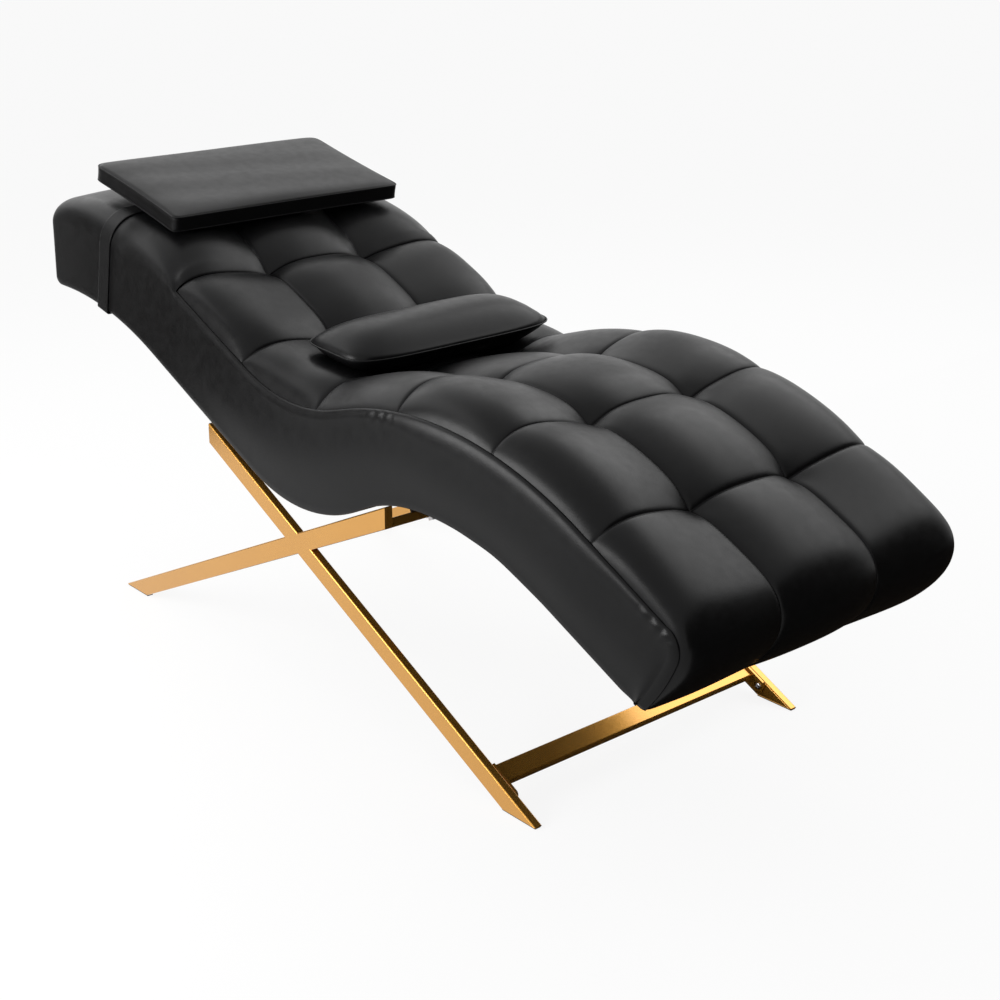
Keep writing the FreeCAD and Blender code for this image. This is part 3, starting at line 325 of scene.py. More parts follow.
def tuftHeight(run, y):
    # height over the seam line at distance run along the bed and y across it
    t = tuftShape
    n = t["rows"]
    row = np.clip(np.floor((run - t["firstSeam"]) / t["pitch"] + 1e-9).astype(int), 0, n)
    v = np.where(row < n, (run - t["firstSeam"]) / t["pitch"] - row,
                 (run - lastSeam) / (seamLine["length"] - lastSeam))
    v = np.clip(v, 0, 1)
    end = np.where(row == n, v, 0.0)
    along = hump(v, t["flatness"])
    side = np.abs(y)
    outer = side > t["columnEdge"]
    fromEdge = np.maximum(t["seamY"] - side, 0)
    width = t["seamY"] - t["columnEdge"]
    u = np.where(outer, fromEdge / width, (side + t["columnEdge"]) / (2 * t["columnEdge"]))
    rise = np.clip((fromEdge ** 2 / (fromEdge + t["edgeFlat"])) / (width ** 2 / (width + t["edgeFlat"])), 0, 1)
    arches, skews, bulge = np.array(t["outerArch"]), np.array(t["edgeSkew"]), np.array(t["bulge"])[row]
    skew = (skews[row] * (1 - v) + skews[row + 1] * v) * (1 - t["fullness"] * bulge * along)
    outerArch = arches[row] * (1 - v) + arches[row + 1] * v
    arch = np.where(outer, outerArch, t["crossArch"]) * (1 - end) + t["endArch"] * end
    across = np.where(outer, np.sin(np.pi * rise ** skew), hump(u, t["power"]))
    reach = np.where(outer, 1 - (1 - u) ** t["reachPower"], 1.0)
    base = t["junction"] * (1 - end) * np.where(outer, u, 1.0)
    height = base + np.array(t["longArch"])[row] * along * reach + arch * across
    height = height + bulge * along * across + noseRise(run)
    # pulled seams and the hollows where they cross
    toLong = np.abs(side - t["columnEdge"])
    seams = t["firstSeam"] + t["pitch"] * np.arange(n + 1)
    toCross = np.min(np.abs(run[..., None] - seams), -1)
    cut = sum(np.exp(-gap / t["grooveWidth"]) for gap in (toLong, toCross, fromEdge))
    near = np.exp(-(toLong ** 2 + toCross ** 2) / t["hollowWidth"] ** 2)
    return height - t["groove"] * np.minimum(cut, t["grooveLimit"]) - t["hollow"] * near


def seamedSteps(low, high, steps):
    # lines from one seam to the next, close together beside both
    fine = tuftShape["fineSteps"]
    inside = np.linspace(low + fine[-1], high - fine[-1], steps)
    return [low + f for f in fine[:-1]] + list(inside) + [high - f for f in reversed(fine[1:-1])]


def tuftGrid():
    t = tuftShape
    runs, ys = [], []
    for r in range(t["rows"]):
        runs += seamedSteps(t["firstSeam"] + t["pitch"] * r, t["firstSeam"] + t["pitch"] * (r + 1), t["rowSteps"])
    runs += [lastSeam + f for f in t["fineSteps"][:-1]]
    runs += list(np.linspace(lastSeam + t["fineSteps"][-1], seamLine["length"], t["footSteps"]))
    edges = (-t["seamY"], -t["columnEdge"], t["columnEdge"], t["seamY"])
    for low, high in zip(edges, edges[1:]):
        ys += seamedSteps(low, high, t["columnSteps"])
    ys.append(edges[-1])
    return np.array(runs), np.array(ys)


def tuftMesh():
    t = tuftShape
    runs, ys = tuftGrid()
    runGrid, yGrid = np.meshgrid(runs, ys, indexing="ij")
    heights = tuftHeight(runGrid, yGrid)
    at, normal = onLine(seamLine, runGrid)
    points = np.stack([at[..., 0] + normal[..., 0] * heights, yGrid, at[..., 1] + normal[..., 1] * heights], -1)
    rows, columns = runGrid.shape
    # the foot end turns in a wide curve between the side seams
    fromSide = 1 - np.exp(-(t["seamY"] - np.abs(ys)) / t["easeEdge"])
    easing = within(runs, t["easeSpan"])[1:-1, None, None] * fromSide[None, :, None]
    for _ in range(t["easeRounds"]):
        points[1:-1] += easing * 0.5 * ((points[:-2] + points[2:]) / 2 - points[1:-1])
    verts = list(points.reshape(-1, 3))
    faces = gridFaces(rows, columns)
    base = len(verts)
    for run in runs:
        p, normal = onLine(seamLine, run)
        low = p - normal * t["bottomDepth"]
        verts += [(low[0], ys[0], low[1]), (low[0], ys[-1], low[1])]
    for r in range(rows - 1):
        right, left = base + 2 * r, base + 2 * r + 1
        faces.append((r * columns, (r + 1) * columns, right + 2, right))
        faces.append((r * columns + columns - 1, left, left + 2, (r + 1) * columns + columns - 1))
        faces.append((right, right + 2, left + 2, left))
    faces.append(tuple(range(columns)) + (base + 1, base))
    faces.append(tuple(reversed(range(base - columns, base))) + (base + 2 * rows - 2, base + 2 * rows - 1))
    return makeObject("tuftedTop", verts, faces, blackLeather)


tuftedTop = tuftMesh()
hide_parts("tufted_top", "foam_core")
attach(tuftedTop, "chair")
print("tufted top:", len(tuftedTop.data.polygons), "faces")


# head section and side panels, one smooth leather cover
coverShape = {
    "crown": 0.062, "shoulder": 0.050, "edgeRadius": 0.062, "endDrop": 0.079, "endPower": 2 / 1.85,
    "crownRun": 0.258, "strapEnd": 0.296, "collarRadius": 0.0065, "shoulderSwell": 0.010, "tuftSwell": 0.009,
    "endRound": 0.016, "endTurn": 0.14, "endClosed": 0.050, "seamFade": (0.30, 0.40), "edgeFade": 0.02,
    "grooveLimit": 1.15, "sideRound": 0.016, "calfRound": 0.036, "calfOut": 0.004,
    "calfRuns": (1.10, 1.30, 1.62, 1.76), "sideFull": 0.003, "fullRuns": (0.50, 0.75),
    "puckers": ((1.105, 1.196, 0.0300, 0.0006), (1.770, 1.860, 0.0290, 0.0008)), "puckerDrop": 0.009,
    "puckerFade": 0.7, "puckerSpread": 0.2, "puckerLean": 100.0,
    "crestDip": 0.0165, "crestSpan": (0.12, 0.40, 0.43, 0.62),
    "calfDip": 0.0045, "calfSpan": (0.48, 0.60, 0.775, 0.822),
    "underFold": 0.012, "foldRise": 0.001, "foldRound": 0.004, "foldTurn": 0.3, "footFade": 0.08,
    "footInset": 0.016, "rollLead": 0.02, "seamTuck": (0.004, 0.0012), "hide": 0.003,
    "easeAlong": (-0.62, -0.56, -0.436, -0.420), "easeAcross": (0.15, 0.22), "easeAbove": 0.62, "easeRounds": 60,
    "endRuns": (0.0008, 0.002, 0.004, 0.0065, 0.0095, 0.0125), "endSteps": 26, "neckSteps": 56, "sideSteps": 260,
    "puckerStep": 0.0021, "wallSteps": 22, "wallPower": 1.5, "edgeSteps": 12, "middleSteps": 25, "outerSteps": 30,
}


def headSection(run):
    # sizes of the head section at distance run: end turn, edge radius, then heights over the seam line
    h, t = coverShape, tuftShape
    turn = acos(max(0.0, 1 - run / h["crownRun"]) ** (1 / h["endPower"]))
    drop = h["endDrop"] * (1 - sin(turn) ** h["endPower"])
    share = min(max((run - h["strapEnd"]) / (t["firstSeam"] - h["strapEnd"]), 0.0), 1.0)
    full = 4 * share * (1 - share)
    corner = h["edgeRadius"] * (1 + sin(turn)) / 2 + (h["collarRadius"] - h["edgeRadius"]) * share
    shoulder = h["shoulder"] * (1 - share) - drop + full * h["shoulderSwell"]
    plainArch = (h["crown"] - h["shoulder"]) * (t["columnEdge"] / (halfWidth - h["edgeRadius"])) ** 2
    plainLift = h["crown"] - plainArch
    lift = plainLift - drop + (t["junction"] - plainLift) * share
    arch = plainArch + (t["crossArch"] - plainArch) * share + full * h["tuftSwell"]
    return turn, corner, shoulder, lift, arch, share


def headTop(run, y, section):
    # height of the head section over the seam line, y across it
    h, t = coverShape, tuftShape
    _, corner, shoulder, lift, arch, share = section
    inner = halfWidth - corner
    side = abs(y)
    if side > t["columnEdge"]:
        u = min(max((inner - side) / (inner - t["columnEdge"]), 0.0), 1.0)
        rounded = hump(u) * (1 - share) + sin(pi * u ** t["edgeSkew"][0]) * share
        arch = arch + (t["outerArch"][0] - t["crossArch"]) * share
        height = shoulder + (lift - shoulder) * u + arch * rounded
    else:
        height = lift + arch * (1 - (side / t["columnEdge"]) ** (2 + (t["power"] - 2) * share))
    toLong = abs(side - t["columnEdge"])
    toCross = abs(run - t["firstSeam"])
    fade = smoothStep(run, *h["seamFade"])
    cut = exp(-toLong / t["grooveWidth"]) * fade + exp(-toCross / t["grooveWidth"])
    near = exp(-(toLong ** 2 + toCross ** 2) / t["hollowWidth"] ** 2)
    edge = smoothStep(inner - side, 0.0, h["edgeFade"])
    return height - (t["groove"] * min(cut, h["grooveLimit"]) + t["hollow"] * near) * edge


def headSpread():
    # places across the head section as shares of its flat top, close together beside the long seams
    h = coverShape
    flat = halfWidth - h["collarRadius"]
    edge = tuftShape["columnEdge"] / flat
    fine = np.array(tuftShape["fineSteps"]) / flat
    middle = list(np.linspace(-edge + fine[-1], edge - fine[-1], h["middleSteps"]))
    outer = list(np.linspace(edge + fine[-1], 1, h["outerSteps"]))
    beside = [edge + f for f in fine[:-1]] + [edge - f for f in fine[1:-1]]
    return np.array(sorted(middle + outer + beside + [-x for x in outer + beside]))


def coverRuns():
    # places along the seam line, and how many of them belong to the head section
    h = coverShape
    first, fine = tuftShape["firstSeam"], tuftShape["fineSteps"]
    turns = np.linspace(0, np.pi / 2, h["endSteps"] + 1)
    head = list(h["crownRun"] * (1 - np.cos(turns) ** h["endPower"])) + list(h["endRuns"])
    head += list(np.linspace(h["crownRun"], first - fine[-1], h["neckSteps"] + 1)[1:])
    head = sorted(set(head + [first - f for f in fine[:-1]]))
    tail = list(np.linspace(first, seamLine["length"], h["sideSteps"])[1:])
    for start, end, _, _ in h["puckers"]:
        tail += list(np.arange(start, end, h["puckerStep"]))
    return np.array(head + sorted(tail)), len(head)


def underRuns(runs):
    # the place along the underside that lies below each place along the seam line
    h = coverShape
    found = []
    for run in runs:
        p, normal = onLine(seamLine, run)
        mix = smoothStep(run, 0.0, h["endTurn"])
        down = -(normal * mix + np.array((0, 1)) * (1 - mix))
        offset = underLine["at"] - p
        cross = down[0] * offset[:, 1] - down[1] * offset[:, 0]
        found.append(np.interp(0.0, cross if cross[0] < cross[-1] else -cross, underLine["run"]))
    found = np.array(found)
    onRoll = runs > rollStart - h["rollLead"]
    lastGood, lastRun = found[~onRoll][-1], runs[~onRoll][-1]
    tailShare = (runs[onRoll] - lastRun) / (runs[-1] - lastRun)
    found[onRoll] = lastGood + (underLine["length"] - h["footInset"] - lastGood) * tailShare
    startOn = np.searchsorted(runs, h["endTurn"])
    found[:startOn] = found[startOn] * runs[:startOn] / runs[startOn]
    return np.maximum.accumulate(found)


def puckerDepth(run, below):
    # short pulls in the side just under the seam, where it turns
    h = coverShape
    depth, drop = 0.0, h["puckerDrop"]
    for start, end, pitch, full in h["puckers"]:
        if start < run < end:
            share = (run - start) / (end - start)
            fade = sin(pi * share) ** h["puckerFade"] * exp(-((below - drop) / drop) ** 2)
            turn = 2 * pi * (run - start) / pitch * (1 + h["puckerSpread"] * share)
            depth += full * fade * sin(turn + h["puckerLean"] * below)
    return depth


def underDip(x):
    # how far the leather hangs below the drawn underside, most under the knee crest
    h = coverShape
    return h["crestDip"] * within(x, h["crestSpan"]) + h["calfDip"] * within(x, h["calfSpan"])


def endFrame(run, turn, normal):
    # how far the head end's rounding draws the sides in, and the way up
    h = coverShape
    inset = 0.0
    if run < h["endRound"]:
        inset = h["endRound"] * (1 - sqrt(max(0.0, 1 - (1 - run / h["endRound"]) ** 2)))
    lean = radians(bed["headSlope"]) * sin(turn)
    return inset, np.array((sin(lean), cos(lean))) if run < h["crownRun"] else normal


def sidePoints(run, underRun, isHead):
    # one line up the right-hand side, from the fold under the edge to the seam, as (x, y, z)
    h = coverShape
    seamY = tuftShape["seamY"]
    p, normal = onLine(seamLine, run)
    p = p + normal * noseRise(run)
    q, inward = onLine(underLine, underRun)
    q = q - inward * underDip(q[0])
    turn, corner, shoulder = headSection(run)[:3]
    inset, up = endFrame(run, turn, normal)
    edge = halfWidth - inset
    line = []

    def add(at, y):
        line.append((at[0], -y, at[1]))

    # the lower edge's rounding runs out at the foot
    lift = h["foldRound"] * (1 - smoothStep(run, seamLine["length"] - h["footFade"], seamLine["length"]))
    add(q + inward * h["foldRise"], edge - h["underFold"])
    add(q, edge - h["foldRound"])
    add(q + inward * h["foldTurn"] * lift, edge - h["foldTurn"] * h["foldRound"])
    calf = within(run, h["calfRuns"])
    sideRound = h["sideRound"] + (h["calfRound"] - h["sideRound"]) * calf
    calfOut = h["calfOut"] * calf
    full = h["sideFull"] * smoothStep(run, *h["fullRuns"])
    wallTop = shoulder - corner if isHead else -sideRound
    start, top = q + inward * lift, p + up * wallTop
    tall = np.linalg.norm(top - start)
    for k in range(h["wallSteps"] + 1):
        f = 1 - (1 - k / h["wallSteps"]) ** h["wallPower"]
        pull = 0.0 if isHead else puckerDepth(run, (1 - f) * tall - wallTop)
        swell = calfOut * f * f * (3 - 2 * f) + full * 16 * f * f * (1 - f) ** 2
        add(start + (top - start) * f, edge - pull + swell)
    for k in range(1, h["edgeSteps"] + 1):
        a = k / h["edgeSteps"] * pi / 2
        if isHead:
            add(p + up * (wallTop + corner * sin(a)), edge - corner * (1 - cos(a)))
        else:
            rise = wallTop + sideRound * sin(a)
            wide = halfWidth + calfOut
            add(p + normal * rise, wide - (wide - seamY) * (1 - cos(a)) - puckerDepth(run, -rise))
    if isHead:
        line.append(line[-1])
    else:
        add(p - normal * h["seamTuck"][0], seamY - h["seamTuck"][1])
    return line


def coverMesh():
    runs, headCount = coverRuns()
    under = underRuns(runs)
    side = np.array([sidePoints(runs[r], under[r], r < headCount) for r in range(len(runs))])
    rows, columns = side.shape[:2]
    side = side.reshape(-1, 3)
    left = len(side)
    verts = list(side) + [(x, -y, z) for x, y, z in side]
    faces = gridFaces(rows, columns) + [tuple(reversed(f)) for f in gridFaces(rows, columns, left)]
    topFirst = len(verts)
    spread = headSpread()
    for run in runs[:headCount]:
        section = headSection(run)
        p, normal = onLine(seamLine, run)
        inset, up = endFrame(run, section[0], normal)
        flat = halfWidth - section[1]
        for share in spread:
            at = p + up * headTop(run, share * flat, section)
            verts.append((at[0], share * (flat - inset), at[1]))
    faces += gridFaces(headCount, len(spread), topFirst)
    # head end between the two sides, and on round the lower corner to the underside
    faces += [(c, c + 1, left + c + 1, left + c) for c in range(columns - 1)]
    for r in range(int(np.searchsorted(under, coverShape["endClosed"]))):
        low, high = r * columns, (r + 1) * columns
        faces.append((low, left + low, left + high, high))
    faces.append(tuple(range(topFirst, topFirst + len(spread))))
    return makeObject("headAndSideCover", verts, faces, blackLeather)


def relax(mesh, weights, rounds):
    # eases vertices towards their neighbours where weights say so
    count = len(mesh.vertices)
    place = np.empty(count * 3)
    mesh.vertices.foreach_get("co", place)
    place = place.reshape(-1, 3)
    pairs = np.empty(len(mesh.edges) * 2, int)
    mesh.edges.foreach_get("vertices", pairs)
    pairs = pairs.reshape(-1, 2)
    degree = np.bincount(pairs.ravel(), minlength=count)[:, None]
    share = weights(place)[:, None]
    for _ in range(rounds):
        total = np.zeros_like(place)
        np.add.at(total, pairs[:, 0], place[pairs[:, 1]])
        np.add.at(total, pairs[:, 1], place[pairs[:, 0]])
        place = place + share * 0.5 * (total / degree - place)
    mesh.vertices.foreach_set("co", place.ravel())
    mesh.update()


def neckEdge(v):
    h = coverShape
    across = smoothStep(np.abs(v[:, 1]), *h["easeAcross"])
    return within(v[:, 0], h["easeAlong"]) * across * (v[:, 2] > h["easeAbove"])


cover = coverMesh()
relax(cover.data, neckEdge, coverShape["easeRounds"])
shell = cover.modifiers.new("hide", "SOLIDIFY")
shell.thickness = coverShape["hide"]
shell.offset = -1
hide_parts("head_pad", "left_side_panel", "right_side_panel", "head_end_panel")
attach(cover, "chair")
print("head and side cover:", len(cover.data.polygons), "faces")


# dust cover under the bed, slack enough to follow the leather's lower edge
def dustSheet():
    built = bmesh.new()
    built.from_mesh(frame["nodes"]["dust_cover"].data)
    bmesh.ops.remove_doubles(built, verts=built.verts, dist=1e-5)
    for v in built.verts:
        v.co.z -= underDip(v.co.x)
    return objectFrom(built, "dustSheet")


dustCover = dustSheet()
dustCover.data.materials.append(dustFabric)
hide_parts("dust_cover")
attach(dustCover, "chair")
print("dust cover:", len(dustCover.data.polygons), "faces")


# flat head pillow: boxed cushion with drawn-in sides and piped edges
pillowShape = {
    "station": 0.243, "floor": 0.065, "length": 0.297, "width": 0.537, "thick": 0.030, "crown": 0.008,
    "waistEnd": 0.002, "waistSide": 0.004, "wallHollow": 0.0004, "roll": 0.0165, "pitch": 0.024, "shear": 0.009,
    "cornerPower": (19.0, 34.0), "seamRise": 0.0012, "seamInset": 0.001, "underRise": 0.0005, "crownPower": 0.8,
    "edgePowers": (7, 9), "piping": 0.0013, "pipingLevels": (0.0018, 0.0292), "pipingReach": (0.9965, 0.998),
    "underRings": (0.3, 0.6, 0.85, 0.96), "middle": 0.02, "wallSteps": 8, "quarterSteps": 60,
    "topRings": (0.985, 0.965, 0.94, 0.90, 0.85, 0.78, 0.70, 0.60, 0.48, 0.35, 0.2),
    "ripples": ((0.0009, 1.3, 5.1, 0.4), (0.0006, 9.0, -2.2, 0.0)),
}
headWay = wayOf(-bed["headSlope"])
headUp = np.array((-headWay[1], headWay[0]))


def headPlace(a, y, n, station):
    at = headEnd + headWay * (station + a) + headUp * n
    return (at[0], y, at[1])


def addTube(verts, faces, points, radius, sides=10):
    # closed tube round a closed line of points
    points = np.array(points)
    count, first = len(points), len(verts)
    for i in range(count):
        ahead = unit(points[(i + 1) % count] - points[i - 1])
        out = unit(np.cross(ahead, (0.0, 0.0, 1.0)))
        up = np.cross(out, ahead)
        for k in range(sides):
            a = 2 * pi * k / sides
            verts.append(points[i] + (out * cos(a) + up * sin(a)) * radius)
        faces += ringFaces(first + i * sides, first + (i + 1) % count * sides, sides)


def pillowEdge(theta):
    # outline of the pillow in its own plane, corners rounded a little and sides drawn in
    p = pillowShape
    ca, sa = cos(theta), sin(theta)
    power = p["cornerPower"][0 if ca < 0 else 1]
    scale = (abs(ca) ** power + abs(sa) ** power) ** (-1 / power)
    a, y = ca * scale, sa * scale
    return (a * (p["length"] / 2 - p["waistEnd"] * (1 - min(1, abs(y)) ** 2)),
            y * (p["width"] / 2 - p["waistSide"] * (1 - min(1, abs(a)) ** 2)))


def pillowPoint(a, y, n):
    # the pillow lies a touch higher on its far side and towards the head end
    p = pillowShape
    back = p["length"] / 2 - a
    height = p["floor"] + n + p["roll"] * y + p["pitch"] * back
    return headPlace(a, y - p["shear"] * back / p["length"], height, p["station"])


def pillowTop(a, y):
    # height of the upper panel, domed and a little uneven
    p = pillowShape
    a, y = a / (p["length"] / 2), y / (p["width"] / 2)
    endPower, sidePower = p["edgePowers"]
    edge = max(0.0, 1 - abs(a) ** endPower) * max(0.0, 1 - abs(y) ** sidePower)
    ripple = sum(depth * sin(m * a + n * y + phase) for depth, m, n, phase in p["ripples"])
    return p["thick"] + p["crown"] * edge ** p["crownPower"] + ripple * edge


def boxedPillow():
    p = pillowShape
    steps = p["quarterSteps"]
    rim = [pillowEdge(pi / 2 * (quarter - cos(pi * k / steps) / 2)) for quarter in range(4) for k in range(steps)]
    verts, rings = [], []

    def ring(scale, height=None, inset=0.0):
        rings.append(len(verts))
        for a, y in rim:
            k = scale * (1 - inset / hypot(a, y))
            verts.append(pillowPoint(a * k, y * k, pillowTop(a * k, y * k) if height is None else height))

    ring(p["middle"], 0.0)
    for s in p["underRings"]:
        ring(s, p["underRise"])
    ring(1.0, p["seamRise"], p["seamInset"])
    for k in range(1, p["wallSteps"]):
        f = k / p["wallSteps"]
        ring(1.0, p["seamRise"] + (p["thick"] - 2 * p["seamRise"]) * f, p["wallHollow"] * sin(pi * f) ** 2)
    ring(1.0, p["thick"] - p["seamRise"], p["seamInset"])
    for s in (*p["topRings"], p["middle"]):
        ring(s)
    faces = stackFaces(rings, len(rim))
    endReach, sideReach = p["pipingReach"]
    for level in p["pipingLevels"]:
        addTube(verts, faces, [pillowPoint(a * endReach, y * sideReach, level) for a, y in rim], p["piping"])
    return makeObject("headPillow", verts, faces, blackLeather)


headPillow = boxedPillow()
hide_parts("head_pillow_cover", "head_pillow_foam")
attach(headPillow, "head_pillow")
print("head pillow:", len(headPillow.data.polygons), "faces")


# strap of the head pillow, tight over the head section and loose underneath
strapShape = {"station": 0.237, "width": 0.038, "thick": 0.0022, "gap": 0.0008, "bottomRound": 0.0045, "bevel": 0.3,
              "edgeLoops": (0.06, 0.5, 0.94),
              "underPoints": (0.0, 0.15, 0.27), "cornerSteps": 9, "wallSteps": 12, "edgeSteps": 17, "topSteps": 20}


def strapLoop():
    # right half as (y, height) from the middle below to the middle on top, then the left half
    s, run = strapShape, coverShape["crownRun"]
    cadStrap = np.array([v.co for v in frame["nodes"]["pillow_strap"].data.vertices])
    level = ((cadStrap[:, [0, 2]] - (headEnd + headWay * s["station"])) @ headUp).min() + s["thick"] / 2
    section = headSection(run)
    corner, shoulder = section[1:3]
    out = s["gap"] + s["thick"] / 2
    r = s["bottomRound"]
    wall = halfWidth + out
    line = [(y, level) for y in s["underPoints"]]
    line += [(wall - r + r * sin(a), level + r - r * cos(a)) for a in np.linspace(0, pi / 2, s["cornerSteps"])]
    line += [(wall, level + r + (shoulder - corner - level - r) * f)
             for f in np.linspace(0, 1, s["wallSteps"])[1:-1]]
    line += [(halfWidth - corner + (corner + out) * cos(a), shoulder - corner + (corner + out) * sin(a))
             for a in np.linspace(0, pi / 2, s["edgeSteps"])]
    line += [(y, out + headTop(run, y, section)) for y in np.linspace(halfWidth - corner, 0, s["topSteps"])[1:]]
    return line + [(-y, n) for y, n in reversed(line[1:-1])]


def strapBand():
    s = strapShape
    loop = np.array(strapLoop())
    count = len(loop)
    half, t, bevel = s["width"] / 2, s["thick"] / 2, s["thick"] * s["bevel"]
    section = [(-half + bevel, t), (half - bevel, t), (half, t - bevel), (half, -t + bevel),
               (half - bevel, -t), (-half + bevel, -t), (-half, -t + bevel), (-half, t - bevel)]
    outline = []
    for (a0, o0), (a1, _) in zip(section, section[1:] + section[:1]):
        outline.append((a0, o0))
        if abs(a1 - a0) > half:
            outline += [(a0 + (a1 - a0) * f, o0) for f in s["edgeLoops"]]
    m = len(outline)
    verts, faces = [], []
    for i in range(count):
        ahead = unit(loop[(i + 1) % count] - loop[i - 1])
        out = np.array((ahead[1], -ahead[0]))
        for a, o in outline:
            y, n = loop[i] + out * o
            verts.append(headPlace(a, y, n, s["station"]))
        faces += ringFaces(i * m, (i + 1) % count * m, m)
    return makeObject("pillowStrap", verts, faces, strapLeather)


pillowStrap = strapBand()
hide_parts("pillow_strap")
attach(pillowStrap, "head_pillow")
print("strap:", len(pillowStrap.data.polygons), "faces")


# small lumbar pillow: two panels sewn along a knife edge
lumbarShape = {
    "centre": (-0.0490, 0.6296), "tilt": 2.5, "yaw": -0.024, "roll": 0.019, "halfLength": 0.0985, "halfWidth": 0.2285,
    "power": 5.0, "crown": 0.043, "belly": 0.055, "rest": 0.0006, "above": 1.2, "uneven": 0.04,
    "unevenWave": (3.1, 0.6), "domePowers": ((2.2, 0.88), (5, 0.6), (9, 0.5)),
    "welt": 0.0014, "weltReach": (1.004, 1.002), "turnSteps": 220, "ringSteps": 26, "ringPower": 1.6,
}


def lumbarRim():
    s = lumbarShape
    rim = []
    for k in range(s["turnSteps"]):
        a = 2 * pi * k / s["turnSteps"]
        ca, sa = [copysign(abs(v) ** 0.5, v) for v in (cos(a), sin(a))]
        scale = (abs(ca) ** s["power"] + abs(sa) ** s["power"]) ** (-1 / s["power"])
        rim.append((ca * scale * s["halfLength"], sa * scale * s["halfWidth"]))
    return rim


def lumbarPlace(a, y, n):
    s = lumbarShape
    along = wayOf(-s["tilt"])
    up = np.array((-along[1], along[0]))
    a, y = a - y * s["yaw"], y + a * s["yaw"]
    at = np.array(s["centre"]) + along * a + up * (n + s["roll"] * y)
    return Vector((at[0], y, at[1]))


def lumbarHeight(a, y, share):
    # domed from front to back, full out to both ends, as a share of the whole height
    s = lumbarShape
    height = 1.0
    for x, (first, last) in zip((abs(a) / s["halfLength"], abs(y) / s["halfWidth"], share), s["domePowers"]):
        height *= max(0.0, 1 - x ** first) ** last
    return height


def lumbarCushion(seatMesh):
    s = lumbarShape
    rim = lumbarRim()
    shares = np.linspace(0, 1, s["ringSteps"] + 1) ** s["ringPower"]
    order = [(share, s["crown"]) for share in shares[1:]] + [(share, -s["belly"]) for share in shares[-2:0:-1]]
    seat = bmesh.new()
    seat.from_mesh(seatMesh)
    seatTree = BVHTree.FromBMesh(seat)
    wave, phase = s["unevenWave"]
    verts, rings = [], []
    for share, full in order:
        rings.append(len(verts))
        for a, y in rim:
            puff = 1 + s["uneven"] * sin(wave * y * share / s["halfWidth"] + phase) * (1 - share)
            v = lumbarPlace(a * share, y * share, full * lumbarHeight(a * share, y * share, share) * puff)
            # the underside rests on the tufts
            hit = seatTree.ray_cast(Vector((v.x, v.y, s["above"])), Vector((0, 0, -1)))[0]
            if hit is not None:
                v.z = max(v.z, hit.z + s["rest"])
            verts.append(v)
    seat.free()
    faces = stackFaces(rings, len(rim), -1)
    endReach, sideReach = s["weltReach"]
    addTube(verts, faces, [lumbarPlace(a * endReach, y * sideReach, 0.0) for a, y in rim], s["welt"], 8)
    return makeObject("lumbarPillow", verts, faces, blackLeather)


lumbarPillow = lumbarCushion(tuftedTop.data)
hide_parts("lumbar_pillow_cover", "lumbar_pillow_filling")
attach(lumbarPillow, "lumbar_pillow")
print("lumbar pillow:", len(lumbarPillow.data.polygons), "faces")


# pan-head screws with a cross recess that hold the stretcher's end plates to the legs
screwShape = {"head": 0.0064, "rise": 0.0034, "recess": 0.0036, "slot": 0.0011, "deep": 0.0019, "proud": 0.0002,
              "shank": 0.0030, "length": 0.010, "at": (0.5259, 0.0246), "plateFace": 0.3005, "turn": 0.5,
              "sides": 48, "domeSteps": 9, "domePower": 0.8}


def bakedMesh(holder, *helpers):
    # the holder's mesh with its modifiers applied, after which the holder and its helpers go
    bpy.context.view_layer.update()
    mesh = bpy.data.meshes.new_from_object(holder.evaluated_get(bpy.context.evaluated_depsgraph_get()))
    for used in (holder, *helpers):
        bpy.data.objects.remove(used)
    return mesh


def screwMesh():
    s = screwShape
    count = s["sides"]
    turns = [2 * pi * k / count for k in range(count)]
    dome = [(s["head"] * cos(a), s["rise"] * sin(a) ** s["domePower"])
            for a in np.linspace(0, pi / 2, s["domeSteps"])[1:-1]]
    profile = [(s["shank"], -s["length"]), (s["shank"], 0.0), (s["head"], 0.0)] + dome
    verts = [(radius * cos(a), radius * sin(a), height) for radius, height in profile for a in turns]
    faces = stackFaces(range(0, len(verts), count), count)
    head = linkObject("screwHead", plainMesh("screwHead", verts, faces))
    cutters = []
    for name, size in (("slotA", (s["recess"], s["slot"])), ("slotB", (s["slot"], s["recess"]))):
        built = bmesh.new()
        bmesh.ops.create_cube(built, size=2.0)
        bmesh.ops.scale(built, vec=(*size, s["deep"]), verts=built.verts)
        bmesh.ops.translate(built, vec=(0, 0, s["rise"] + s["proud"]), verts=built.verts)
        cutters.append(objectFrom(built, name))
        taken = head.modifiers.new(name, "BOOLEAN")
        taken.object = cutters[-1]
        taken.operation = "DIFFERENCE"
    return bakedMesh(head, *cutters)


